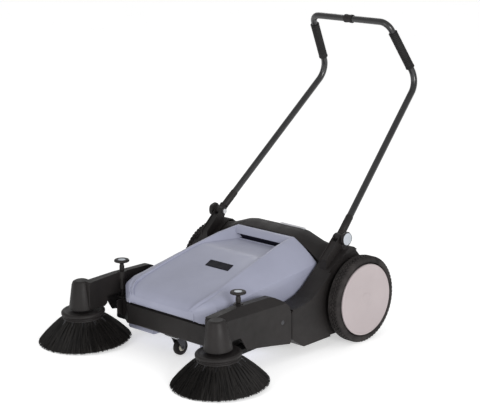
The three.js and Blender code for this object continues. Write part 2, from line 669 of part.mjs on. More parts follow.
function lidSolid(wall) {
  const rings = LID_STATIONS.map(({ y, ridgeX, ridgeZ, creaseX, creaseZ, skirtZ }) => {
    const drop = wall ? 20 : 0;
    const right = [
      [creaseX - wall, skirtZ - drop], [creaseX - wall, creaseZ - wall],
      [(ridgeX + creaseX) / 2 - wall / 2, (ridgeZ + creaseZ) / 2 + 4 - wall],
      [ridgeX, ridgeZ - wall], [ridgeX - 14, ridgeZ + 1 - wall], [60, ridgeZ + 2 - wall],
    ];
    const left = right.map(([x, z]) => [-x, z]).reverse();
    const inward = y < -350 ? wall : 0;
    return [...right, ...left].map(([x, z]) => new THREE.Vector3(x, y + inward, z));
  });
  return loft(rings);
}

// The grip recess fades out towards the front and runs back under a lip, as [y, z].
const RECESS_X = 88;
const RECESS = [[-120, 289], [36, 287], [50, 288], [50, 305], [36, 305], [36, 340], [-120, 340]];
const RECESS_ROOM = [[-130, 284], [36, 283], [54, 284], [54, 345], [-130, 345]];

function hopperCover() {
  const room = cut(lidSolid(WALL), alongX(RECESS_ROOM, [-RECESS_X - WALL, RECESS_X + WALL]));
  const rearMouth = box([-221.5, 60, 150], [221.5, 80, 254]);
  return cut(lidSolid(0), room, rearMouth, alongX(RECESS, [-RECESS_X, RECESS_X]));
}
place('hopper_cover', hopperCover(), SLATE);

function hopperTub() {
  const step = -302; // the floor steps up ahead of here to clear the caster
  const outer = alongX([
    [TUB_REAR_Y, TUB_FLOOR_Z], [TUB_REAR_Y, 143], [-346, 143], [-346, 72], [step, 72], [step, TUB_FLOOR_Z],
  ], [-TUB_X, TUB_X]);
  const inner = alongX([
    [TUB_REAR_Y + 1, TUB_FLOOR_Z + 4], [TUB_REAR_Y + 1, 150], [-342, 150], [-342, 76], [step + 4, 76],
    [step + 4, TUB_FLOOR_Z + 4],
  ], [-TUB_X + 4, TUB_X - 4]);
  return cut(outer, inner);
}
place('hopper_tub', hopperTub(), SLATE);

// ---- Front caster -------------------------------------------------------

const casterTop = BUMPER_Z[0] - 0.5;
place('caster_plate', join(
  box([CASTER_X - 26, CASTER_Y - 26, casterTop - 3.5], [CASTER_X + 26, CASTER_Y + 26, casterTop]),
  turned(discProfile(5, casterTop - 9, casterTop - 1), 16).translate(CASTER_X, CASTER_Y, 0)), STEEL);
const forkTop = casterTop - 3.5 - GAP;
const casterAxleY = CASTER_Y + CASTER_TRAIL;
function casterFork() {
  const cheek = (x) => alongX([
    [CASTER_Y - 14, forkTop - 4], [CASTER_Y + 22, forkTop - 4], [casterAxleY + 7, CASTER_R - 6],
    [casterAxleY - 5, CASTER_R - 6],
  ], [x, x + 2.5]);
  return cut(
    join(
      turned(discProfile(20, forkTop - 6, forkTop), 20).translate(CASTER_X, CASTER_Y, 0),
      cheek(CASTER_X - 14.5), cheek(CASTER_X + 12),
      alongX(circle(casterAxleY, CASTER_R, 3.5, 12), [CASTER_X - 17, CASTER_X + 17])),
    turned(discProfile(5 + GAP, forkTop - 7, forkTop + 1), 16).translate(CASTER_X, CASTER_Y, 0));
}
place('caster_fork', casterFork(), STEEL);
const CASTER_FLATS = 24;
const casterTread = CASTER_R / Math.cos(Math.PI / CASTER_FLATS);
place('caster_wheel', turnedX([
  [3.5 + GAP, -9], [casterTread - 6, -9], [casterTread - 1, -8], [casterTread, -5], [casterTread, 5],
  [casterTread - 1, 8], [casterTread - 6, 9], [3.5 + GAP, 9], [3.5 + GAP, -9],
], CASTER_FLATS), RUBBER, [CASTER_X, casterAxleY, CASTER_R]);

// ---- Handle -------------------------------------------------------------

const socketStart = HINGE.clone().addScaledVector(lowerRun, 21.5);
const socketEnd = HINGE.clone().addScaledVector(lowerRun, 84);
const tubeFrom = HINGE.clone().addScaledVector(lowerRun, 32);
const tubeTo = new THREE.Vector3(4, TOP.y, TOP.z);

/** The plastic lower end that takes the tube and turns between the bracket's cheeks. */
function handleSocket() {
  const eyeX = [CHEEK_X[1] + GAP, CHEEK_X[2] - GAP];
  const tongue = [fromHinge(0, 10), fromHinge(0, -10), fromHinge(28, -10), fromHinge(28, 10)];
  const sleeve = rod(new THREE.LineCurve3(socketStart, socketEnd), SOCKET_R, 1, 16);
  const bore = rod(new THREE.LineCurve3(tubeFrom.clone().addScaledVector(lowerRun, -GAP),
    socketEnd.clone().addScaledVector(lowerRun, 5)), TUBE_R + GAP, 1, 16);
  return cut(
    join(alongX(circle(HINGE.y, HINGE.z, 13.5, 20), eyeX), alongX(tongue, eyeX), sleeve),
    bore,
    alongX(circle(HINGE.y, HINGE.z, 5 + GAP, 16), [CHEEK_X[1], CHEEK_X[2]]));
}
pair('handle_socket', handleSocket(), BLACK);

pair('handle_tube', rod(
  bentPath([tubeFrom, BEND, TOP, tubeTo], [BEND_R, TOP_BEND_R]), TUBE_R, 34, 8), TUBE_BLACK);
place('handle_sleeve', cut(
  alongX(circle(0, 0, TUBE_R + 3.5, 20), [-17, 17]),
  alongX(circle(0, 0, TUBE_R + GAP, 20), [3, 18]),
  alongX(circle(0, 0, TUBE_R + GAP, 20), [-18, -3])), BLACK, [0, TOP.y, TOP.z]);

const upperRun = TOP.clone().sub(BEND);
const gripFrom = BEND.clone().addScaledVector(upperRun, 0.235);
const gripTo = BEND.clone().addScaledVector(upperRun, 0.835);
pair('grip', cut(
  rod(new THREE.LineCurve3(gripFrom, gripTo), GRIP_R, 1, 20),
  rod(new THREE.LineCurve3(gripFrom.clone().addScaledVector(upperRun, -0.02),
    gripTo.clone().addScaledVector(upperRun, 0.02)), TUBE_R + 1, 1, 12)), RUBBER);

// ---- Handle clamp knobs -------------------------------------------------

const knobOutline = Array.from({ length: 30 }, (_, i) => {
  const angle = (i / 30) * 2 * Math.PI;
  const radius = 21 + 2.5 * Math.cos(5 * angle);
  return [radius * Math.cos(angle), radius * Math.sin(angle)];
});
const clampKnob = cut(
  join(
    alongX(knobOutline, [289.5, 304]),
    alongX(circle(0, 0, 11), [CHEEK_X[3] + GAP, 290.5])),
  alongX(circle(0, 0, 5 + GAP, 16), [CHEEK_X[3], 296]));
for (const [side, mirror] of [['right', (g) => g], ['left', mirrored]]) {
  place(`${side}_clamp_knob`, mirror(clampKnob), BLACK, [0, HINGE.y, HINGE.z]);
}

export default group;
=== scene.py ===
import json
import math
import random

import bmesh
import bpy
from mathutils import Matrix, Vector


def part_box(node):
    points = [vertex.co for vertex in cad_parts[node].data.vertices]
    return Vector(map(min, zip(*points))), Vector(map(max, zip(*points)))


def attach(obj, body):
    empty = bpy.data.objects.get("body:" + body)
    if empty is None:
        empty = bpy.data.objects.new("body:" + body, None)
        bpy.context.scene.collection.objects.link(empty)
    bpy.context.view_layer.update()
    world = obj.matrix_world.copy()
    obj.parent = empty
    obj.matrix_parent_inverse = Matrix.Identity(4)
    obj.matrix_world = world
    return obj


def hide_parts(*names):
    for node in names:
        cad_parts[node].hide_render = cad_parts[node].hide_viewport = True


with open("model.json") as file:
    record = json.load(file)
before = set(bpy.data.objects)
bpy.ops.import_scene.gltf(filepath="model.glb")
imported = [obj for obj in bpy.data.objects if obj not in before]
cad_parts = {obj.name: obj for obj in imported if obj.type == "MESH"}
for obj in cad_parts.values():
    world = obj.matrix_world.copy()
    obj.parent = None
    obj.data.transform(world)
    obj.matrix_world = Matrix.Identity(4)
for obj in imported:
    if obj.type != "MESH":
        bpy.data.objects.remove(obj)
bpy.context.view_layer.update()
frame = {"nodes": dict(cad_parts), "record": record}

MM = 0.001
RANDOM_SEED = 7
BEVEL_ANGLE = 28  # degrees; only edges sharper than this are rounded
SIDES = (("right", 1), ("left", -1))
JOINTS = {joint["name"]: joint for joint in frame["record"]["behaviour"]["joints"]}
NODE_BODY = {node: body for body, nodes in frame["record"]["behaviour"]["bodies"].items() for node in nodes}
NODE_SLOT = {part["node"]: part["material_slot"] for part in frame["record"]["subparts"]}
random.seed(RANDOM_SEED)


def joint_at(name):
    """A hinge's point in millimetres."""
    return Vector(JOINTS[name]["pos_m"]) / MM


def box_of(node):
    """A CAD node's lowest and highest corners in millimetres."""
    low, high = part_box(node)
    return Vector(low) / MM, Vector(high) / MM


# Shapes are drawn in millimetres with the axle at y = 158; piece() moves them to the frame's own origin.
DRAWN_AXLE_Y = 158
SHIFT = Vector((0, joint_at("right_wheel_spin").y - DRAWN_AXLE_Y, 0))


# ---- Materials ----------------------------------------------------------

def new_material(name, colour, roughness, metallic=0.0, gloss=0.5):
    """A Principled material; gloss is its specular level."""
    material = bpy.data.materials.new(name)
    material.use_nodes = True
    tree = material.node_tree
    shader = tree.nodes["Principled BSDF"]
    shader.inputs["Base Color"].default_value = (*colour, 1)
    shader.inputs["Roughness"].default_value = roughness
    shader.inputs["Metallic"].default_value = metallic
    shader.inputs["Specular IOR Level"].default_value = gloss
    return material, tree, shader


def add(tree, kind, **settings):
    node = tree.nodes.new(kind)
    for key, value in settings.items():
        setattr(node, key, value)
    return node


def noise(tree, scale, detail=4.0, stretch=(1, 1, 1)):
    """A noise texture in metres of the object's own space."""
    coordinates = add(tree, "ShaderNodeTexCoord")
    mapping = add(tree, "ShaderNodeMapping")
    mapping.inputs["Scale"].default_value = stretch
    texture = add(tree, "ShaderNodeTexNoise")
    texture.inputs["Scale"].default_value = scale
    texture.inputs["Detail"].default_value = detail
    tree.links.new(coordinates.outputs["Object"], mapping.inputs["Vector"])
    tree.links.new(mapping.outputs["Vector"], texture.inputs["Vector"])
    return texture.outputs["Fac"]


def spread(tree, value, low, high, from_low=0.3, from_high=0.7):
    """Maps a noise value into a range."""
    node = add(tree, "ShaderNodeMapRange")
    for key, number in (("From Min", from_low), ("From Max", from_high), ("To Min", low), ("To Max", high)):
        node.inputs[key].default_value = number
    tree.links.new(value, node.inputs["Value"])
    return node.outputs["Result"]


def blend_colour(tree, value, first, second):
    """Mixes two plain colours by a value."""
    node = add(tree, "ShaderNodeMix", data_type="RGBA")
    node.inputs["A"].default_value = (*first, 1)
    node.inputs["B"].default_value = (*second, 1)
    tree.links.new(value, node.inputs["Factor"])
    return node.outputs["Result"]


def overlay_colour(tree, value, under, second):
    """Lays a plain colour over a linked one, by a value."""
    node = add(tree, "ShaderNodeMix", data_type="RGBA")
    tree.links.new(under, node.inputs["A"])
    node.inputs["B"].default_value = (*second, 1)
    tree.links.new(value, node.inputs["Factor"])
    return node.outputs["Result"]


def bump(tree, shader, height, strength, distance):
    node = add(tree, "ShaderNodeBump")
    node.inputs["Strength"].default_value = strength
    node.inputs["Distance"].default_value = distance
    tree.links.new(height, node.inputs["Height"])
    tree.links.new(node.outputs["Normal"], shader.inputs["Normal"])
    return node


def worn_edges(tree, low=0.57, high=0.72):
    """One on convex edges, where plastic rubs pale, broken up by noise."""
    geometry = add(tree, "ShaderNodeNewGeometry")
    edge = spread(tree, geometry.outputs["Pointiness"], 0, 1, low, high)
    patch = spread(tree, noise(tree, 60), 0, 0.8, 0.42, 0.62)
    product = add(tree, "ShaderNodeMath", operation="MULTIPLY")
    tree.links.new(edge, product.inputs[0])
    tree.links.new(patch, product.inputs[1])
    return product.outputs["Value"]


def moulded_plastic(name, colour, roughness, grain, grain_scale=1400, wear=None, drift=0.12, gloss=0.4):
    """Moulded plastic with a fine surface grain, slow colour drift and rubbed edges."""
    material, tree, shader = new_material(name, colour, roughness, gloss=gloss)
    lighter = tuple(min(1, c * (1 + drift)) for c in colour)
    darker = tuple(c * (1 - drift) for c in colour)
    tone = blend_colour(tree, spread(tree, noise(tree, 9, 5), 0, 1), darker, lighter)
    if wear:
        tone = overlay_colour(tree, worn_edges(tree), tone, wear)
    tree.links.new(tone, shader.inputs["Base Color"])
    tree.links.new(
        spread(tree, noise(tree, 35, 6), roughness - 0.06, roughness + 0.08), shader.inputs["Roughness"])
    bump(tree, shader, noise(tree, grain_scale, 2), grain, 0.0004)
    return material


def rubber(name, colour, roughness, grain=0.25, dust=None):
    """Black rubber with a chalky bloom and a slightly rough skin."""
    material, tree, shader = new_material(name, colour, roughness, gloss=0.2)
    tone = blend_colour(
        tree, spread(tree, noise(tree, 24, 6), 0, 1), tuple(c * 0.8 for c in colour),
        dust or tuple(c * 1.5 for c in colour))
    tree.links.new(tone, shader.inputs["Base Color"])
    tree.links.new(spread(tree, noise(tree, 50, 5), roughness - 0.08, roughness + 0.08), shader.inputs["Roughness"])
    bump(tree, shader, noise(tree, 900, 3), grain, 0.0005)
    return material


def metal(name, colour, roughness, brushed=(1, 1, 1), scratch=0.1):
    """Plated or painted steel with fine marks and uneven gloss."""
    material, tree, shader = new_material(name, colour, roughness, 1.0)
    tone = blend_colour(tree, spread(tree, noise(tree, 30, 6), 0, 1), tuple(c * 0.82 for c in colour), colour)
    tree.links.new(tone, shader.inputs["Base Color"])
    tree.links.new(
        spread(tree, noise(tree, 160, 5, brushed), roughness - 0.08, roughness + 0.12), shader.inputs["Roughness"])
    bump(tree, shader, noise(tree, 500, 4, brushed), scratch, 0.0003)
    return material


def bristle_material():
    """Stiff plastic filament: each strand has its own shade and a soft gloss along it."""
    material, tree, shader = new_material("bristle_strands", (0.01, 0.01, 0.01), 0.5, gloss=0.2)
    island = add(tree, "ShaderNodeNewGeometry").outputs["Random Per Island"]
    tone = blend_colour(tree, spread(tree, island, 0, 1, 0, 1), (0.0025, 0.0025, 0.0025), (0.020, 0.018, 0.017))
    tree.links.new(tone, shader.inputs["Base Color"])
    tree.links.new(spread(tree, noise(tree, 300, 3), 0.38, 0.6), shader.inputs["Roughness"])
    bump(tree, shader, noise(tree, 1500, 2), 0.15, 0.0002)
    return material


def painted_tube():
    """Semi-gloss black powder coat with orange peel and a few pale rubs."""
    material, tree, shader = new_material("powder_coat", (0.008, 0.008, 0.009), 0.28, gloss=0.45)
    tone = blend_colour(tree, spread(tree, noise(tree, 18, 5), 0, 1), (0.006, 0.006, 0.007), (0.013, 0.0125, 0.013))
    tree.links.new(tone, shader.inputs["Base Color"])
    tree.links.new(spread(tree, noise(tree, 40, 6), 0.2, 0.36), shader.inputs["Roughness"])
    bump(tree, shader, noise(tree, 420, 2), 0.22, 0.0004)
    shader.inputs["Coat Weight"].default_value = 0.3
    shader.inputs["Coat Roughness"].default_value = 0.2
    return material


MATERIALS = {
    "black_plastic": moulded_plastic(
        "black_moulding", (0.0135, 0.0115, 0.0112), 0.5, 0.35, drift=0.3, gloss=0.25),
    "slate_plastic": moulded_plastic(
        "slate_moulding", (0.305, 0.315, 0.405), 0.34, 0.12, 900, wear=(0.42, 0.43, 0.52), drift=0.05),
    "hubcap_plastic": moulded_plastic(
        "hubcap_moulding", (0.385, 0.335, 0.34), 0.42, 0.15, 900, drift=0.05),
    "tyre_rubber": rubber("tyre_compound", (0.010, 0.0085, 0.0085), 0.72, 0.35, (0.034, 0.030, 0.029)),
    "soft_rubber": rubber("flexible_rubber", (0.010, 0.010, 0.010), 0.62),
    "grip_rubber": rubber("grip_sleeve", (0.012, 0.0115, 0.0115), 0.58, 0.4),
    "bare_steel": metal("zinc_plate", (0.60, 0.61, 0.63), 0.32),
    "tube_paint": painted_tube(),
    "bristle": bristle_material(),
    "nylon": moulded_plastic("natural_nylon", (0.68, 0.65, 0.56), 0.45, 0.15, drift=0.06),
}
# Near-black with a faint blue: painted shade, for the sheet inside the slot under the lid's rear lip.
SLOT_PAINTED_SHADE = moulded_plastic("slot_shade_paint", (0.004, 0.004, 0.012), 0.6, 0.2, gloss=0.15)
KNOB_CAP = moulded_plastic("knob_cap", (0.43, 0.46, 0.50), 0.25, 0.05)
NAMEPLATE = moulded_plastic("nameplate_face", (0.005, 0.005, 0.010), 0.5, 0.05, gloss=0.08)
DARK_STEEL = metal("black_oxide", (0.09, 0.09, 0.095), 0.42)
# Pale grey with some gloss, for the strip along the rear cover's crown.
CROWN_STRIP_FINISH = moulded_plastic("crown_pale_gloss", (0.60, 0.60, 0.63), 0.3, 0.05, drift=0.05, gloss=0.6)


# ---- Mesh tools ---------------------------------------------------------

def shade(mesh, angle=32):
    """Smooth faces, with the edges sharper than the angle left crisp."""
    for polygon in mesh.polygons:
        polygon.use_smooth = True
    work = bmesh.new()
    work.from_mesh(mesh)
    limit = math.radians(angle)
    for edge in work.edges:
        edge.smooth = not (len(edge.link_faces) == 2 and edge.calc_face_angle(0) > limit)
    work.to_mesh(mesh)
    work.free()


def piece(name, points, faces, node=None, body=None, slot=None, material=None, replaces=(), bevel=0.0,
          segments=3, angle=32, thickness=0.0):
    """One visible piece, from points in millimetres; it takes body, slot and material from a CAD node."""
    mesh = bpy.data.meshes.new(name)
    mesh.from_pydata([tuple((Vector(point) + SHIFT) * MM) for point in points], [], faces)
    return finish_piece(name, mesh, node, body, slot, material, replaces, bevel, segments, angle, thickness)


def finish_piece(name, mesh, node, body, slot, material, replaces, bevel, segments, angle, thickness=0.0):
    work = bmesh.new()
    work.from_mesh(mesh)
    bmesh.ops.remove_doubles(work, verts=work.verts, dist=1e-6)
    bmesh.ops.recalc_face_normals(work, faces=work.faces)
    work.to_mesh(mesh)
    work.free()
    slot = slot or NODE_SLOT[node]
    mesh.materials.clear()
    mesh.materials.append(material or MATERIALS[slot])
    obj = bpy.data.objects.new(name, mesh)
    bpy.context.scene.collection.objects.link(obj)
    if thickness:
        shell = obj.modifiers.new("wall", "SOLIDIFY")
        shell.thickness = thickness * MM
        shell.offset = -1
    if bevel:
        rounding = obj.modifiers.new("edges", "BEVEL")
        rounding.width = bevel * MM
        rounding.segments = segments
        rounding.limit_method = "ANGLE"
        rounding.angle_limit = math.radians(BEVEL_ANGLE)
        rounding.use_clamp_overlap = True
        rounding.harden_normals = True
    shade(mesh, angle)
    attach(obj, body or NODE_BODY[node])
    if replaces:
        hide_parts(*replaces)
    return obj


def restyled(node, bevel=1.0, segments=2, angle=30, material=None):
    """A copy of a CAD node with rounded edges, which stands for it."""
    mesh = frame["nodes"][node].data.copy()
    return finish_piece(
        node + "_moulded", mesh, node, None, None, material, (node,), bevel, segments, angle)


def grid_faces(rows, columns, closed_columns=False, closed_rows=False):
    faces = []
    for i in range(rows if closed_rows else rows - 1):
        for j in range(columns if closed_columns else columns - 1):
            a = i * columns + j
            b = i * columns + (j + 1) % columns
            c = ((i + 1) % rows) * columns + (j + 1) % columns
            d = ((i + 1) % rows) * columns + j
            faces.append((a, b, c, d))
    return faces


def loft(rings, caps=True):
    """Points and faces of a skin over closed rings of equal size."""
    size = len(rings[0])
    points = [point for ring in rings for point in ring]
    faces = grid_faces(len(rings), size, closed_columns=True)
    if caps:
        faces.append(tuple(range(size)))
        faces.append(tuple(range(len(points) - size, len(points))))
    return points, faces


def basis(axis):
    """Two directions square to an axis."""
    axis = Vector(axis).normalized()
    side = axis.cross(Vector((0, 0, 1)) if abs(axis.z) < 0.9 else Vector((0, 1, 0))).normalized()
    return side, axis.cross(side), axis


def turned(profile, centre, axis, count=64, closed=False):
    """Turns a [radius, height] profile round an axis; points on the axis close it."""
    side, up, along = basis(axis)
    centre = Vector(centre)
    rings = []
    for radius, height in profile:
        radius = max(radius, 0.02)
        rings.append([
            centre + along * height + (side * math.cos(turn) + up * math.sin(turn)) * radius
            for turn in (2 * math.pi * i / count for i in range(count))])
    points = [point for ring in rings for point in ring]
    faces = grid_faces(len(rings), count, closed_columns=True, closed_rows=closed)
    if not closed:
        faces.append(tuple(range(count)))
        faces.append(tuple(range(len(points) - count, len(points))))
    return points, faces


def rounded_profile(corners, radius, steps=4, closed=False):
    """Rounds the corners of a [radius, height] profile with small arcs."""
    result = []
    size = len(corners)
    for i, corner in enumerate(corners):
        if not closed and i in (0, size - 1):
            result.append(tuple(corner))
            continue
        here = Vector(corner)
        back = Vector(corners[i - 1]) - here
        ahead = Vector(corners[(i + 1) % size]) - here
        reach = min(radius, back.length * 0.45, ahead.length * 0.45)
        start = here + back.normalized() * reach
        end = here + ahead.normalized() * reach
        for step in range(steps + 1):
            t = step / steps
            point = start * (1 - t) ** 2 + here * 2 * t * (1 - t) + end * t ** 2
            result.append(tuple(point))
    return result


def tube(path, radius, count=24, caps=True):
    """A round tube along a path; radius is a number or one number for each point."""
    path = [Vector(point) for point in path]
    radii = radius if isinstance(radius, (list, tuple)) else [radius] * len(path)
    tangents = []
    for i, point in enumerate(path):
        before = path[max(i - 1, 0)]
        after = path[min(i + 1, len(path) - 1)]
        tangents.append((after - before).normalized())
    side = basis(tangents[0])[0]
    rings = []
    for point, tangent, r in zip(path, tangents, radii):
        side = (side - tangent * side.dot(tangent)).normalized()
        up = tangent.cross(side)
        rings.append([
            point + (side * math.cos(turn) + up * math.sin(turn)) * r
            for turn in (2 * math.pi * i / count for i in range(count))])
    return loft(rings, caps)


def prism_x(outline, x_from, x_to):
    """An extrusion along X of a [y, z] outline."""
    return loft([[Vector((x, y, z)) for y, z in outline] for x in (x_from, x_to)])


def merged(*parts):
    """Several point-and-face sets as one."""
    points, faces = [], []
    for part_points, part_faces in parts:
        offset = len(points)
        points.extend(part_points)
        faces.extend(tuple(i + offset for i in face) for face in part_faces)
    return points, faces


def between(low, high, share):
    return low + (high - low) * share


def mirrored(points, sign):
    """The points for the right side, or swapped over for the left."""
    return [Vector((point[0] * sign, point[1], point[2])) for point in points]


def drawn(point):
    """A point of the frame, moved to where the shapes are drawn."""
    return point - SHIFT


AXLE = drawn(joint_at("right_wheel_spin"))
BRUSH = drawn(joint_at("main_brush_spin"))
HINGE = drawn(joint_at("right_clamp_knob_turn"))


# ---- Strands ------------------------------------------------------------

def strand_mesh(paths, radius, tip):
    """Thin three-sided filaments along paths of equal length, tapering to the tip."""
    points, faces = [], []
    for path in paths:
        start = len(points)
        last = len(path) - 1
        along = (path[-1] - path[0]).normalized()
        side, up, _ = basis(along)
        for i, centre in enumerate(path):
            r = radius * between(1, tip, i / last)
            for k in range(3):
                turn = 2 * math.pi * k / 3
                points.append(centre + (side * math.cos(turn) + up * math.sin(turn)) * r)
        for i in range(last):
            for k in range(3):
                a = start + i * 3 + k
                b = start + i * 3 + (k + 1) % 3
                faces.append((a, b, b + 3, a + 3))
        faces.append((start, start + 2, start + 1))
        faces.append((start + last * 3, start + last * 3 + 1, start + last * 3 + 2))
    return points, faces


# ---- Hopper cover -------------------------------------------------------

# Along the lid: y, ridge x and z (beside the flat top), crease x and z (top of the side wall), bottom z.
# The ridge follows the photo, so it lies further out than the CAD lid's.
LID_STATIONS = [
    (66, 130, 323, 225, 258, 200), (40, 132, 320, 225, 252, 190), (-19, 139, 311, 225, 244, 150),
    (-103, 148, 291, 225, 235, 146), (-186, 155, 269, 225, 224, 146), (-268, 162, 245, 225, 212, 146),
    (-330, 165, 226.5, 222, 202, 146), (-368, 163, 213.5, 208, 192, 146), (-388, 155, 203, 184, 184, 146),
    (-400, 147, 192, 164, 176, 148), (-407, 136, 180, 148, 172, 154),
]
POCKET_Y = 36  # back wall of the grip recess
RAIL_WIDTH = 11  # from the panel's edge to the ridge
POCKET_FLOOR_Z = 288.6
PANEL_DROP = 4.5  # the middle panel lies this far below the rails
FLOOR_SHARES = (0, 0.2, 0.4, 0.6, 0.8, 0.92, 1.0)
SLOT_BACK_Y = 48
SLOT_HALF_FLOOR, SLOT_HALF_ROOF = 95, 99  # half widths of the slot's painted-shade face
LID_WALL = 2.6
# The rounded lip behind the recess: y and how far the surface has dropped
LIP_DROPS = ((63, 0.2), (59, 0.8), (55, 1.9), (51, 3.5), (47, 5.7), (43, 8.6), (40, 11.4), (37.5, 14.4), (36, 17))


def lid_at(y):
    """The lid's station at y, as a smooth function of y."""
    stations = LID_STATIONS
    for i in range(len(stations) - 1):
        rear, front = stations[i], stations[i + 1]
        if rear[0] >= y >= front[0]:
            t = (rear[0] - y) / (rear[0] - front[0])
            return [between(a, b, t) for a, b in zip(rear, front)]
    return list(stations[0] if y > stations[0][0] else stations[-1])


def panel_drop(y):
    """How far the middle panel lies below the rails: a shallow tray that runs into the level recess floor."""
    lip = min(1.0, max(0.0, (y + 406) / 30))
    shallow = PANEL_DROP * (0.55 + 0.45 * lip)
    deep = lid_at(y)[2] + 2 - POCKET_FLOOR_Z - 0.012 * (POCKET_Y - y)
    blend = math.exp(-abs(deep - shallow) / 2.5)
    return max(shallow, deep) + 1.2 * blend * lip


def rail_inner_x(y):
    """The rails' inner edge follows the ridge."""
    return lid_at(y)[1] - RAIL_WIDTH


def lid_half_section(y, drop):
    """Points from the middle of the lid to its lower edge, as [x, z]."""
    _, ridge_x, ridge_z, crease_x, crease_z, bottom_z = lid_at(y)
    inner = rail_inner_x(y)
    ramp = 1.6 + 1.1 * max(0.0, drop - PANEL_DROP)
    nose = max(0.0, min(1.0, (-300 - y) / 80))
    top = ridge_z + 2 + 3.5 * nose
    floor = top - drop - 3.5 * nose
    points = [(share * (inner - ramp), floor) for share in FLOOR_SHARES]
    for share, rise in ((0.15, 0.04), (0.4, 0.3), (0.65, 0.68), (0.85, 0.93), (1.0, 1.0)):
        points.append((inner - ramp * (1 - share), between(floor, top, rise)))
    points += [
        (inner + 1.5, top + 0.25), (inner + 3.5, top + 0.3),
        (ridge_x - 4, ridge_z + 1.6 + 3 * nose), (ridge_x - 1.5, ridge_z + 0.6 + 2.4 * nose),
        (ridge_x + 2, ridge_z - 1.4 + 2 * nose),
    ]
    bulge = 4 + 6 * nose
    for share in (0.12, 0.3, 0.5, 0.7, 0.88):
        x = between(ridge_x, crease_x, share)
        z = between(ridge_z, crease_z, share) + bulge * 4 * share * (1 - share)
        points.append((x, z))
    points += [
        (crease_x - 3, crease_z + 2.2), (crease_x - 0.8, crease_z - 0.6), (crease_x, crease_z - 4),
    ]
    for share in (0.25, 0.6, 0.95):
        points.append((crease_x, between(crease_z - 4, bottom_z, share)))
    points.append((crease_x - 1, bottom_z))
    return points


def lid_ring(y, drop):
    """The lid's whole section at y, from its left lower edge to its right one."""
    half = lid_half_section(y, drop)
    return [Vector((x, y, z)) for x, z in [(-x, z) for x, z in reversed(half[1:])] + half]


def hopper_cover():
    """The lid's skin, with the folded-in slot under the rear lip."""
    stops = []
    for rear, front in zip(LID_STATIONS, LID_STATIONS[1:]):
        steps = max(2, round((rear[0] - front[0]) / 7))
        stops += [between(rear[0], front[0], i / steps) for i in range(steps)]
    stops.append(LID_STATIONS[-1][0])
    rings = [lid_ring(LID_STATIONS[0][0], 0)] + [lid_ring(y, drop) for y, drop in LIP_DROPS]

    middle = len(rings[0]) // 2
    floor_count = len(FLOOR_SHARES) - 1

    def slot_row(ring, y, z):
        """A ring whose floor points are moved to a line inside the slot."""
        row = [point.copy() for point in ring]
        for i in range(middle - floor_count, middle + floor_count + 1):
            row[i].y = y
            row[i].z = z
        return row

    full = lid_ring(POCKET_Y, panel_drop(POCKET_Y))
    roof_z = rings[-1][middle].z
    floor_z = full[middle].z
    rings.append(slot_row(rings[-1], SLOT_BACK_Y, roof_z + 0.5))
    rings.append(slot_row(full, SLOT_BACK_Y, floor_z))
    rings.append(slot_row(full, POCKET_Y + 0.6, floor_z + 0.2))
    rings.append(slot_row(full, POCKET_Y - 0.4, floor_z + 1.8))
    rings.append(slot_row(full, POCKET_Y - 2.4, floor_z + 1.8))
    rings.append(slot_row(lid_ring(POCKET_Y - 3.4, panel_drop(POCKET_Y - 3.4)), POCKET_Y - 3.6, floor_z))
    rings += [lid_ring(y, panel_drop(y)) for y in stops if y < POCKET_Y - 5]
    nose = rings[-1]
    low = min(point.z for point in nose)
    for t in (0.12, 0.3, 0.6, 0.85, 1.0):
        rings.append([
            Vector((
                point.x * (1 - 0.02 * t), point.y - 1.6 * math.sin(t * math.pi) - 0.4,
                between(point.z, low, t ** 1.4)))
            for point in nose])
    points = [point for row in rings for point in row]
    faces = grid_faces(len(rings), len(rings[0]))
    return piece(
        "hopper_lid_shell", points, faces, node="hopper_cover", replaces=("hopper_cover",), angle=24,
        thickness=LID_WALL)


hopper_cover()


def lid_top(x, y):
    """A point on the middle panel, with the lid's slope there."""
    def height(at):
        return lid_at(at)[2] + 2 - panel_drop(at)
    slope = math.atan2(height(y + 4) - height(y - 4), 8)
    return Vector((x, y, height(y))), slope


def nameplate():
    """A blank dark plate with a thin raised rim, on the middle panel."""
    centre, slope = lid_top(39, -189)
    half_x, half_y, skew = 51, 18, 8
    forward = Vector((0, math.cos(slope), math.sin(slope)))
    up = Vector((0, -math.sin(slope), math.cos(slope)))

    def slab(inset, low, high, corner=2.5):
        ring = []
        for sx, sy in ((1, 1), (-1, 1), (-1, -1), (1, -1)):
            for k in range(5):
                turn = math.atan2(sy, sx) - math.pi / 4 + k * math.pi / 8
                x = sx * (half_x - inset - corner) + corner * math.cos(turn)
                y = sy * (half_y - inset - corner) + corner * math.sin(turn)
                ring.append((x - skew * 0.5 * y / half_y, y))
        return [[centre + Vector((x, 0, 0)) + forward * y + up * z for x, y in ring] for z in (low, high)]

    points, faces = loft(slab(0, -0.8, 0.9))
    piece("nameplate_rim", points, faces, node="hopper_cover", material=NAMEPLATE, bevel=0.3)
    points, faces = loft(slab(2.2, 0.2, 1.3))
    piece("nameplate_blank", points, faces, node="hopper_cover", slot="black_plastic", material=NAMEPLATE, bevel=0.3)


nameplate()


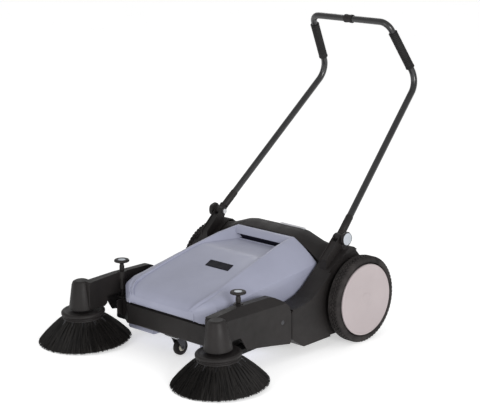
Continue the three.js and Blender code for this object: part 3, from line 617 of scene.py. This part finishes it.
def painted_slot_shade():
    """A near-black sheet on the floor and back of the slot under the rear lip: painted shade for the slot's shadowed
    inside.
    """
    floor_z = POCKET_FLOOR_Z + 0.3
    roof_z = lid_at(POCKET_Y)[2] + 2 - LIP_DROPS[-1][1]
    back = SLOT_BACK_Y - 0.4
    section = [
        (POCKET_Y + 1.2, floor_z), (back, floor_z), (back, roof_z), (back - 0.8, roof_z), (back - 0.8, floor_z + 0.8),
        (POCKET_Y + 1.2, floor_z + 0.8)]
    points, faces = prism_x(section, -SLOT_HALF_ROOF, SLOT_HALF_ROOF)
    for i, point in enumerate(points):
        share = (point.z - floor_z) / (roof_z - floor_z)
        half_width = between(SLOT_HALF_FLOOR, SLOT_HALF_ROOF, share)
        points[i] = Vector((math.copysign(half_width, point.x), point.y, point.z))
    piece("slot_painted_shade_face", points, faces, node="hopper_cover", slot="black_plastic", material=SLOT_PAINTED_SHADE)


painted_slot_shade()
restyled("hopper_tub", bevel=2.5, segments=3)


def tub_corner(side, sign):
    """The tub's deep front corner beside the caster's step."""
    low, high = box_of("hopper_tub")
    rear, front = -301, low.y - SHIFT.y
    section = [(rear, 37), (front + 10, 37), (front + 3, 40), (front, 47), (front, 73), (rear, 73)]
    points, faces = prism_x(section, 96, high.x - 1)
    for i, point in enumerate(points):
        if point.x < 100 and point.z < 60:
            points[i] = point + Vector((14, 0, 0))
    piece(f"{side}_tub_corner", mirrored(points, sign), faces, node="hopper_tub", bevel=2.5)


for side, sign in SIDES:
    tub_corner(side, sign)


# ---- Chassis covers -----------------------------------------------------

restyled("rear_cover", bevel=3, segments=3, angle=24)
restyled("rear_panel", bevel=0.8)
restyled("rear_skirt", bevel=0.6)
restyled("front_bumper", bevel=2.2, segments=3)
restyled("caster_plate", bevel=0.5)
for side, sign in SIDES:
    restyled(f"{side}_side_housing", bevel=2.6, segments=3, angle=24)
    restyled(f"{side}_inner_panel", bevel=0.8)
    restyled(f"{side}_handle_bracket", bevel=0.9)
    restyled(f"{side}_clamp_bolt", bevel=0.5)
    restyled(f"{side}_pivot_pin", bevel=0.8, material=DARK_STEEL)
    restyled(f"{side}_brush_bearing", bevel=0.4)
    restyled(f"{side}_drive_belt", bevel=0.4)
    restyled(f"{side}_pivot_pulley", bevel=0.5)
    restyled(f"{side}_cluster_pinion", bevel=0.4)
    restyled(f"{side}_drive_gear", bevel=0.4)
    restyled(f"{side}_side_brush_spindle", bevel=0.4)
restyled("wheel_axle", bevel=1.0)
restyled("main_brush_shaft", bevel=0.8)
restyled("main_brush_core", bevel=1.0)
restyled("caster_fork", bevel=0.5, material=DARK_STEEL)


def painted_shade_flap(side, sign):
    """A dark rubber flap below the inner panel, between the side brush and the tub: painted shade, a dark sheet put
    where that gap lies in shadow behind the bristles.
    """
    low, high = box_of("right_inner_panel")
    outline = [(-350, 76.4), (-350, 67), (-344, 61), (-332, 58), (-262, 62), (-262, 70.4), (-345, 74.6)]
    points, faces = prism_x(outline, low.x + 0.6, high.x - 0.6)
    piece(f"{side}_painted_shade_flap", mirrored(points, sign), faces, body="chassis", slot="soft_rubber", bevel=0.6)


def housing_lip(side, sign):
    """The rib along the side housing's front edge, behind the brush arm."""
    points, faces = prism_x([(-141.4, 70), (-136.2, 67), (-136.2, 158), (-141.4, 158)], 263, 307.4)
    piece(f"{side}_housing_lip", mirrored(points, sign), faces, node=f"{side}_side_housing", bevel=1.2)


def tower_rib(side, sign):
    """The web that closes the end of the brush arm beside its tower, on the inner side."""
    points, faces = prism_x([(-474, 119), (-474, 199), (-470, 205), (-464, 205), (-464, 119)], 262.3, 281.5)
    piece(f"{side}_tower_rib", mirrored(points, sign), faces, node=f"{side}_arm_housing", bevel=2, segments=3)


for side, sign in SIDES:
    painted_shade_flap(side, sign)
    housing_lip(side, sign)
    tower_rib(side, sign)


def pale_crown_strip():
    """A pale, glossy strip that stands along the rear cover's crown."""
    _, high = box_of("rear_cover")
    crown = high.z
    ends = ((8, 128, 138, crown + 3.2), (112, 128, 138, crown + 1.6))
    rings = [
        [Vector((x, y0, crown - 3)), Vector((x, y1, crown - 3)), Vector((x, y1, z - 0.6)), Vector((x, y0, z))]
        for x, y0, y1, z in ends]
    points, faces = loft(rings)
    piece("blank_data_strip", points, faces, body="chassis", slot="bare_steel", material=CROWN_STRIP_FINISH, bevel=0.5)


pale_crown_strip()


# ---- Wheels -------------------------------------------------------------

TYRE_LOW, TYRE_HIGH = box_of("right_tyre")
TREAD_R = AXLE.z
TYRE_X = (TYRE_LOW.x, TYRE_HIGH.x)
BEAD_R = 120.4
TREAD_ROWS, TREAD_BLOCKS = 3, 66
TREAD_DEPTH = 2.0


def tyre(side, sign):
    """A carcass with smooth shoulders and three staggered rows of low blocks."""
    x0, x1 = TYRE_X
    base_r = TREAD_R - TREAD_DEPTH
    profile = rounded_profile([
        (BEAD_R, x0 + 3), (base_r - 9, x0 + 0.6), (base_r + 0.6, x0 + 8), (base_r + 0.6, x0 + 12),
        (base_r - 0.6, x0 + 13), (base_r - 0.6, x1 - 6), (base_r - 8, x1 - 0.8), (BEAD_R, x1 - 3)], 6, 5)
    parts = [turned(profile, (0, AXLE.y, AXLE.z), (1, 0, 0), 96, closed=True)]

    def at(x, radius, turn):
        return Vector((x, AXLE.y + radius * math.cos(turn), AXLE.z + radius * math.sin(turn)))

    step = 2 * math.pi / TREAD_BLOCKS
    width = (x1 - 6 - (x0 + 14)) / TREAD_ROWS
    for row in range(TREAD_ROWS):
        inner = x0 + 14 + row * width + 0.9
        outer = inner + width - 1.8
        skew = 0.16 * step * (1 if row % 2 else -1)
        half = 0.34 * step
        for i in range(TREAD_BLOCKS):
            turn = (i + 0.5 * (row % 2)) * step
            rings = []
            for radius, reach in ((base_r - 1.5, half * 1.12), (TREAD_R - 0.15, half)):
                rings.append([
                    at(inner, radius, turn - reach - skew), at(outer, radius, turn - reach + skew),
                    at(outer, radius, turn + reach + skew), at(inner, radius, turn + reach - skew)])
            parts.append(loft(rings))
    for radius in (BEAD_R + 3.5, BEAD_R + 8):
        for x in (x1 - 2.0, x0 + 2.0):
            ring = [(radius, x - 0.8), (radius + 1.2, x), (radius, x + 0.8), (radius - 1.2, x)]
            parts.append(turned(ring, (0, AXLE.y, AXLE.z), (1, 0, 0), 96, closed=True))
    points, faces = merged(*parts)
    piece(f"{side}_tyre_tread", mirrored(points, sign), faces, node=f"{side}_tyre", replaces=(f"{side}_tyre",),
          bevel=0.4, segments=1, angle=30)


RIM_RIBS = 12


def wheel(side, sign):
    """The domed hubcap, and the rim with its web and ribs behind it."""
    centre = (0, AXLE.y, AXLE.z)
    _, cap_high = box_of("right_hubcap")
    face_x = cap_high.x
    cap_r = cap_high.z - AXLE.z
    profile = rounded_profile([
        (0, face_x - 6.5), (cap_r, face_x - 6.5), (cap_r, face_x - 2), (cap_r - 2.5, face_x), (cap_r - 6, face_x),
        (cap_r - 8, face_x - 1.2), (24, face_x - 1.6), (20, face_x - 0.2), (12, face_x), (0, face_x)], 0.8, 3)
    points, faces = turned(profile, centre, (1, 0, 0), 96)
    piece(f"{side}_hubcap_disc", mirrored(points, sign), faces, node=f"{side}_hubcap", replaces=(f"{side}_hubcap",))
    rim_low, rim_high = box_of("right_wheel_rim")
    rim_r = rim_high.z - AXLE.z
    x0, x1 = rim_low.x, rim_high.x
    hub = 8.3
    hub_x = box_of("right_drive_gear")[1].x + 0.5
    profile = rounded_profile([
        (hub, hub_x), (30, hub_x), (34, hub_x + 12), (rim_r - 8, hub_x + 12), (rim_r - 8, x0), (rim_r, x0),
        (rim_r, x1), (rim_r - 4, x1), (rim_r - 6, x1 - 11), (34, x1 - 11), (30, x1 - 1), (hub, x1 - 1)], 1.5, 3, True)
    parts = [turned(profile, centre, (1, 0, 0), 72, closed=True)]
    for i in range(RIM_RIBS):
        turn = 2 * math.pi * i / RIM_RIBS
        out = Vector((0, math.cos(turn), math.sin(turn)))
        across = Vector((0, -math.sin(turn), math.cos(turn))) * 1.6
        base = Vector(centre)
        parts.append(loft([
            [base + out * r + across * s + Vector((x, 0, 0)) for r, x, s in (
                (31, hub_x + 2, w), (rim_r - 7, x0 + 6, w), (rim_r - 7, hub_x + 13, w), (31, hub_x + 13, w))]
            for w in (-1, 1)]))
    points, faces = merged(*parts)
    piece(f"{side}_wheel_web", mirrored(points, sign), faces, node=f"{side}_wheel_rim",
          replaces=(f"{side}_wheel_rim",))


for side, sign in SIDES:
    tyre(side, sign)
    wheel(side, sign)


# ---- Side brushes -------------------------------------------------------

SPINDLE_AXIS = Vector(JOINTS["right_side_brush_spin"]["axis"]).normalized()
if SPINDLE_AXIS.z < 0:
    SPINDLE_AXIS.negate()
SPINDLE_POINT = drawn(joint_at("right_side_brush_spin"))
BRISTLE_LOW, BRISTLE_HIGH = box_of("right_side_brush_bristles")
SWEEP_R = (BRISTLE_HIGH.x - BRISTLE_LOW.x) / 2
FOOT_Z = SWEEP_R * abs(SPINDLE_AXIS.y) + 0.05  # so that the front tips meet the floor
SPINDLE_FOOT = SPINDLE_POINT + SPINDLE_AXIS * ((FOOT_Z - SPINDLE_POINT.z) / SPINDLE_AXIS.z)


SIDE_TUFTS, SIDE_STRANDS = 46, 16  # tufts in a row, strands in a tuft
# The three rows: root radius and height, tip radius and height
SIDE_ROWS = ((65.5, 79, 150, 0.8), (60, 78, 141, 0.8), (54, 76, 130, 1.2))
STAPLE_PAIRS = 12
STAPLE_PATH = ((67.6, 79), (69.5, 76), (76, 70.2), (80, 66.4))


def around_spindle(radius, height, turn):
    """A point about the side brush's leaning spindle."""
    side, up, along = basis(SPINDLE_AXIS)
    return SPINDLE_FOOT + along * height + (side * math.cos(turn) + up * math.sin(turn)) * radius


def side_brush(side, sign):
    """Three rows of splayed tufts over a solid mass that fills the middle."""
    paths = []
    for row, (root_r, root_h, tip_r, tip_h) in enumerate(SIDE_ROWS):
        for i in range(SIDE_TUFTS):
            turn = 2 * math.pi * (i + row * 0.33) / SIDE_TUFTS
            for _ in range(SIDE_STRANDS):
                spread_turn = random.gauss(0, 0.028)
                start_turn = turn + random.uniform(-0.012, 0.012)
                reach = random.uniform(-3, 1.0)
                lift = random.uniform(0, 2.0)
                path = []
                for k in range(5):
                    t = k / 4
                    radius = between(root_r, tip_r + reach, t ** 0.95) + 2.5 * math.sin(math.pi * t)
                    height = between(root_h, tip_h + lift, t ** 1.05)
                    radius = min(radius, SWEEP_R - 1.3)
                    path.append(around_spindle(radius, height, start_turn + spread_turn * t * 2.4))
                paths.append([Vector(p) for p in path])
    points, faces = strand_mesh(paths, 0.95, 0.7)
    brush = f"{side}_side_brush_bristles"
    piece(f"{side}_bristle_strands", mirrored(points, sign), faces, node=brush, replaces=(brush,), angle=80)
    core = rounded_profile([
        (50, 80), (61, 80), (72, 70), (120, 28.5), (146, 3.6), (143, 1.2), (112, 20), (64, 62), (50, 74)], 3, 2, True)
    points, faces = turned(core, SPINDLE_FOOT, SPINDLE_AXIS, 64, closed=True)
    piece(f"{side}_bristle_mass", mirrored(points, sign), faces, node=brush, replaces=(brush,))


def brush_plate(side, sign):
    """The brush's double-ringed flange, and the wire staples that hold the tufts."""
    profile = rounded_profile([
        (6.4, 86.4), (58, 86.4), (58, 74.5), (65.5, 74.5), (67.5, 76.5), (67.5, 80.5), (64.2, 83.5), (64.2, 86.5),
        (69.5, 88.5), (71, 91), (70.6, 96.5), (67, 100), (62, 101), (56, 98.6), (36, 98), (32, 99), (6.4, 99)],
        1.2, 3, True)
    points, faces = turned(profile, SPINDLE_FOOT, SPINDLE_AXIS, 80, closed=True)
    name = f"{side}_side_brush_plate"
    piece(f"{side}_brush_flange", mirrored(points, sign), faces, node=name, replaces=(name,))
    wires = []
    for i in range(STAPLE_PAIRS):
        turn = 2 * math.pi * (i + 0.35) / STAPLE_PAIRS
        for offset in (-0.035, 0.035):
            path = [around_spindle(radius, height, turn + offset) for radius, height in STAPLE_PATH]
            wires.append(tube(path, 0.8, 6))
    points, faces = merged(*wires)
    piece(f"{side}_tuft_staples", mirrored(points, sign), faces, node=name, slot="bare_steel", material=DARK_STEEL)


for side, sign in SIDES:
    side_brush(side, sign)
    brush_plate(side, sign)


# ---- Side brush arms ----------------------------------------------------

for side, sign in SIDES:
    restyled(f"{side}_arm_housing", bevel=2.4, segments=3, angle=24)


# ---- Height knobs -------------------------------------------------------

KNOB_LOW, KNOB_HIGH = box_of("right_height_knob")
KNOB_CENTRE = drawn((KNOB_LOW + KNOB_HIGH) / 2)
KNOB_FLUTES = 24


def height_knob(side, sign):
    """The screw with its fluted head, and a pale cap in the head."""
    top = KNOB_HIGH.z
    centre = (KNOB_CENTRE.x, KNOB_CENTRE.y, 0)
    disc_r = (KNOB_HIGH.x - KNOB_LOW.x) / 2
    profile = rounded_profile([
        (0, KNOB_LOW.z), (4.8, KNOB_LOW.z), (4.8, top - 38), (8, top - 37), (8, top - 22), (6, top - 16),
        (12, top - 10), (disc_r - 1, top - 8), (disc_r, top - 6), (disc_r - 0.6, top - 2), (disc_r - 3, top),
        (15, top - 0.2),
        (13, top - 1.4), (0, top - 1.4)], 1.2, 3)
    points, faces = turned(profile, centre, (0, 0, 1), 96)
    for i, point in enumerate(points):
        offset = Vector((point.x - centre[0], point.y - centre[1], 0))
        if offset.length > disc_r - 2.2:
            flute = 0.9 * (0.5 + 0.5 * math.cos(KNOB_FLUTES * math.atan2(offset.y, offset.x)))
            points[i] = point - offset.normalized() * flute
    name = f"{side}_height_knob"
    piece(f"{side}_adjuster_knob", mirrored(points, sign), faces, node=name, replaces=(name,), angle=40)
    cap = rounded_profile([(0, top - 1.5), (12.6, top - 1.5), (12.2, top - 0.5), (9, top - 0.15), (0, top)], 0.5, 2)
    points, faces = turned(cap, centre, (0, 0, 1), 48)
    piece(f"{side}_adjuster_cap", mirrored(points, sign), faces, node=name, material=KNOB_CAP)


for side, sign in SIDES:
    height_knob(side, sign)


# ---- Main brush ---------------------------------------------------------

MAIN_ROWS, MAIN_TUFTS, MAIN_STRANDS = 8, 46, 12


def main_brush():
    """Twisted rows of tufts along the roller."""
    low, high = box_of("main_brush_bristles")
    reach = BRUSH.z - 1.2
    paths = []
    for row in range(MAIN_ROWS):
        for i in range(MAIN_TUFTS):
            share = (i + 0.5) / MAIN_TUFTS
            x = between(low.x + 4, high.x - 4, share)
            turn = 2 * math.pi * row / MAIN_ROWS + share * math.pi / 4 + math.pi / 8
            for _ in range(MAIN_STRANDS):
                lean = random.gauss(0, 0.05)
                drift = random.gauss(0, 2.2)
                tip = reach - random.uniform(0, 5)
                path = []
                for k in range(4):
                    t = k / 3
                    r = between(47, tip, t)
                    angle = turn + random.uniform(-0.01, 0.01) + lean * t
                    px = min(max(x + drift * t, low.x + 0.8), high.x - 0.8)
                    path.append(Vector((px, BRUSH.y + r * math.cos(angle), BRUSH.z + r * math.sin(angle))))
                paths.append(path)
    points, faces = strand_mesh(paths, 0.8, 0.8)
    piece("main_brush_tufts", points, faces, node="main_brush_bristles", replaces=("main_brush_bristles",), angle=80)


main_brush()


# ---- Caster wheel -------------------------------------------------------

def caster_wheel():
    """A rounded tyre on a plain nylon hub."""
    centre = drawn(joint_at("caster_wheel_spin"))
    low, high = box_of("caster_wheel")
    half = (high.x - low.x) / 2
    radius = centre.z
    tread = rounded_profile([
        (13, -half), (radius - 6, -half), (radius - 0.6, -half + 1.6), (radius - 0.1, -3), (radius - 0.1, 3),
        (radius - 0.6, half - 1.6), (radius - 6, half), (13, half)], 2, 3, True)
    points, faces = turned(tread, centre, (1, 0, 0), 64, closed=True)
    piece("caster_tyre", points, faces, node="caster_wheel", replaces=("caster_wheel",))
    hub = rounded_profile([
        (3.9, -half + 0.4), (8, -half + 0.4), (9.5, -half + 3), (12.9, -half + 2), (12.9, half - 2), (9.5, half - 3),
        (8, half - 0.4), (3.9, half - 0.4)], 0.8, 2, True)
    points, faces = turned(hub, centre, (1, 0, 0), 48, closed=True)
    piece("caster_hub", points, faces, node="caster_wheel", slot="nylon")


caster_wheel()


# ---- Handle -------------------------------------------------------------

def bent_path(corners, radii, steps=14):
    """A path through corners, rounded by an arc of its own radius at each."""
    result = [Vector(corners[0])]
    for before, corner, after, radius in zip(corners, corners[1:], corners[2:], radii):
        back = (Vector(before) - Vector(corner)).normalized()
        ahead = (Vector(after) - Vector(corner)).normalized()
        angle = back.angle(ahead)
        reach = radius / math.tan(angle / 2)
        centre_line = (back + ahead).normalized()
        centre = Vector(corner) + centre_line * (radius / math.sin(angle / 2))
        start = Vector(corner) + back * reach - centre
        end = Vector(corner) + ahead * reach - centre
        sweep = start.angle(end)
        for i in range(steps + 1):
            t = i / steps
            mix = start * math.sin((1 - t) * sweep) + end * math.sin(t * sweep)
            result.append(centre + mix / math.sin(sweep))
    result.append(Vector(corners[-1]))
    return result


SLEEVE_LOW, SLEEVE_HIGH = box_of("handle_sleeve")
TOP_Y = (SLEEVE_LOW.y + SLEEVE_HIGH.y) / 2 - SHIFT.y
TOP_Z = (SLEEVE_LOW.z + SLEEVE_HIGH.z) / 2
HINGE_X = 268
BEND_POINT = Vector((202, 594.5, 779))
TOP_POINT = Vector((167, TOP_Y, TOP_Z))
BEND_RADII = (62, 38)
TUBE_END_X = 4
TUBE_R = 11
TUBE_START = 33  # along the lower run, inside the socket
EYE_HALF_WIDTH = 10.2
GRIP_FROM, GRIP_TO = 0.235, 0.835  # shares of the upper run
GRIP_RIBS = 20
# Along the lower run: distance from the hinge, and radius
SOCKET_STATIONS = (
    (21.5, 11.6), (23, 12.5), (62, 12.6), (66, 12.2), (70, 12.6), (74, 12.2), (78, 12.6), (83.5, 12.0))
HINGE_POINT = Vector((HINGE_X, HINGE.y, HINGE.z))
LOWER_RUN = (BEND_POINT - HINGE_POINT).normalized()
UPPER_RUN = TOP_POINT - BEND_POINT


def handle(side, sign):
    """One bent tube with its lower socket and its grip."""
    start = HINGE_POINT + LOWER_RUN * TUBE_START
    path = bent_path([start, BEND_POINT, TOP_POINT, Vector((TUBE_END_X, TOP_Y, TOP_Z))], BEND_RADII, 16)
    points, faces = tube(path, TUBE_R, 28)
    name = f"{side}_handle_tube"
    piece(f"{side}_push_tube", mirrored(points, sign), faces, node=name, replaces=(name,))

    # Lower socket: a tongue with an eye for the bolt, a sleeve and a ribbed collar
    sleeve = tube(
        [HINGE_POINT + LOWER_RUN * stop for stop, _ in SOCKET_STATIONS], [r for _, r in SOCKET_STATIONS], 32)
    half = EYE_HALF_WIDTH
    eye_profile = rounded_profile([
        (5.4, -half), (12.4, -half), (13.4, -half + 1), (13.4, half - 1), (12.4, half), (5.4, half)], 0.6, 2, True)
    eye = turned(eye_profile, HINGE_POINT, (1, 0, 0), 48, closed=True)
    lean = Vector((0, LOWER_RUN.y, LOWER_RUN.z)).normalized()
    across = Vector((0, -lean.z, lean.y))
    tongue = loft([
        [HINGE_POINT + lean * t + across * w + Vector((x, 0, 0)) for x, w in (
            (-half, -width), (half, -width), (half, width), (-half, width))]
        for t, width in ((8, 9.5), (26, 10.2))])
    points, faces = merged(sleeve, eye, tongue)
    name = f"{side}_handle_socket"
    piece(f"{side}_tube_socket", mirrored(points, sign), faces, node=name, replaces=(name,))

    # Grip: ribbed rubber with a flanged lower end
    grip_low = BEND_POINT + UPPER_RUN * GRIP_FROM
    grip_high = BEND_POINT + UPPER_RUN * GRIP_TO
    length = (grip_high - grip_low).length
    along = (grip_high - grip_low).normalized()
    stops, radii = [0.0, 1.0, 5.0, 6.0], [13.8, 15.4, 15.4, 14.2]
    for i in range(GRIP_RIBS):
        at = between(9, length - 9, i / (GRIP_RIBS - 1))
        stops += [at - 2.4, at - 1.4, at + 1.4, at + 2.4]
        radii += [13.7, 14.9, 14.9, 13.7]
    stops += [length - 4.5, length - 3.5, length - 1.0, length]
    radii += [14.0, 15.3, 15.3, 13.8]
    rings = [grip_low + along * stop for stop in stops]
    points, faces = tube(rings, radii, 36)
    name = f"{side}_grip"
    piece(f"{side}_grip_sleeve", mirrored(points, sign), faces, node=name, replaces=(name,), angle=28)


for side, sign in SIDES:
    handle(side, sign)


def handle_sleeve():
    """The sleeve that joins the two tubes, with a raised band at each end."""
    half = (SLEEVE_HIGH.x - SLEEVE_LOW.x) / 2
    outer = (SLEEVE_HIGH.z - SLEEVE_LOW.z) / 2
    profile = rounded_profile([
        (TUBE_R + 0.35, -half), (outer - 0.6, -half), (outer, -half + 1.5), (outer, -half + 8),
        (outer - 1, -half + 10), (outer - 1, half - 10), (outer, half - 8), (outer, half - 1.5),
        (outer - 0.6, half), (TUBE_R + 0.35, half)],
        0.8, 3, True)
    points, faces = turned(profile, (0, TOP_Y, TOP_Z), (1, 0, 0), 56, closed=True)
    piece("handle_join_sleeve", points, faces, node="handle_sleeve", replaces=("handle_sleeve",))


handle_sleeve()


CLAMP_LOBES = 5


def clamp_knob(side, sign):
    """A lobed knob on the clamp bolt, with a pale cap in its face."""
    low, high = box_of("right_clamp_knob")
    x0, x1 = low.x, high.x
    centre = Vector((0, HINGE.y, HINGE.z))
    count = 80
    stations = (
        (x0, 10.4, 0.0), (x0 + 6, 10.8, 0.0), (x0 + 7, 16, 0.5), (x0 + 8.4, 21, 1.0), (x1 - 3.4, 21.9, 1.0),
        (x1 - 1.2, 21.4, 0.8), (x1 - 0.4, 20.9, 0.3), (x1 - 0.4, 20.4, 0.0), (x1 - 2.2, 20.2, 0.0),
        (x1 - 2.4, 0.4, 0.0))
    rings = []
    for x, radius, lobes in stations:
        ring = []
        for i in range(count):
            turn = 2 * math.pi * i / count
            r = radius + lobes * 1.4 * math.cos(CLAMP_LOBES * turn)
            ring.append(centre + Vector((x, r * math.cos(turn), r * math.sin(turn))))
        rings.append(ring)
    points, faces = loft(rings)
    name = f"{side}_clamp_knob"
    piece(f"{side}_clamp_lobes", mirrored(points, sign), faces, node=name, replaces=(name,), angle=35)
    cap = rounded_profile([(0, x1 - 2.3), (19.9, x1 - 2.3), (19.9, x1 - 1.0), (18.6, x1 - 0.3), (0, x1)], 0.7, 3)
    points, faces = turned(cap, centre, (1, 0, 0), 48)
    piece(f"{side}_clamp_cap", mirrored(points, sign), faces, node=name, material=KNOB_CAP)


for side, sign in SIDES:
    clamp_knob(side, sign)


# ---- Stage, lights and camera -------------------------------------------

FLOOR_HALF_SIZE = 90
FLOOR_GLOW = 0.5
WORLD_STRENGTH = 0.62


def stage():
    """The pale floor."""
    mesh = bpy.data.meshes.new("floor")
    work = bmesh.new()
    bmesh.ops.create_grid(work, x_segments=2, y_segments=2, size=FLOOR_HALF_SIZE)
    work.to_mesh(mesh)
    work.free()
    floor = bpy.data.objects.new("floor", mesh)
    bpy.context.scene.collection.objects.link(floor)
    material, tree, shader = new_material("pale_floor", (0.8, 0.8, 0.8), 0.95, gloss=0.1)
    tone = blend_colour(tree, spread(tree, noise(tree, 2, 3), 0, 1), (0.79, 0.79, 0.79), (0.81, 0.81, 0.81))
    tree.links.new(tone, shader.inputs["Base Color"])
    shader.inputs["Emission Color"].default_value = (1, 1, 1, 1)
    shader.inputs["Emission Strength"].default_value = FLOOR_GLOW
    mesh.materials.append(material)


def area_light(name, location, aim, size, power):
    data = bpy.data.lights.new(name, "AREA")
    data.shape = "DISK"
    data.size = size
    data.energy = power
    light = bpy.data.objects.new(name, data)
    light.location = location
    light.rotation_euler = (Vector(aim) - Vector(location)).to_track_quat("-Z", "Y").to_euler()
    bpy.context.scene.collection.objects.link(light)


def lights():
    """An even white surround and three soft lamps."""
    world = bpy.data.worlds.new("studio")
    bpy.context.scene.world = world
    world.use_nodes = True
    background = world.node_tree.nodes["Background"]
    background.inputs["Color"].default_value = (1, 1, 1, 1)
    background.inputs["Strength"].default_value = WORLD_STRENGTH
    area_light("key", (4.5, -1.7, 1.5), (0, 0, 0.3), 1.7, 112)
    area_light("fill", (0.8, -4.6, 1.6), (0, 0, 0.3), 1.8, 30)
    area_light("rim", (-2.4, 2.2, 2.6), (0, 0, 0.5), 0.9, 7)


CAMERA_AT = Vector((3.538, -3.6516, 1.643))
CAMERA_AIM = Vector((0, -0.0444, 0.4236))
CAMERA_LENS = 121.1
CAMERA_ROLL = math.radians(-0.37)
CAMERA_SENSOR = 36
CAMERA_FAR = 200


def camera():
    """The camera, fitted to the photo."""
    data = bpy.data.cameras.new("photo_view")
    data.lens = CAMERA_LENS
    data.sensor_width = CAMERA_SENSOR
    data.clip_end = CAMERA_FAR
    obj = bpy.data.objects.new("photo_view", data)
    obj.location = CAMERA_AT
    look = (CAMERA_AIM - CAMERA_AT).to_track_quat("-Z", "Y").to_matrix()
    obj.rotation_euler = (look @ Matrix.Rotation(CAMERA_ROLL, 3, "Z")).to_euler()
    bpy.context.scene.collection.objects.link(obj)
    bpy.context.scene.camera = obj


stage()
lights()
camera()
bpy.context.scene.view_settings.view_transform = "Standard"
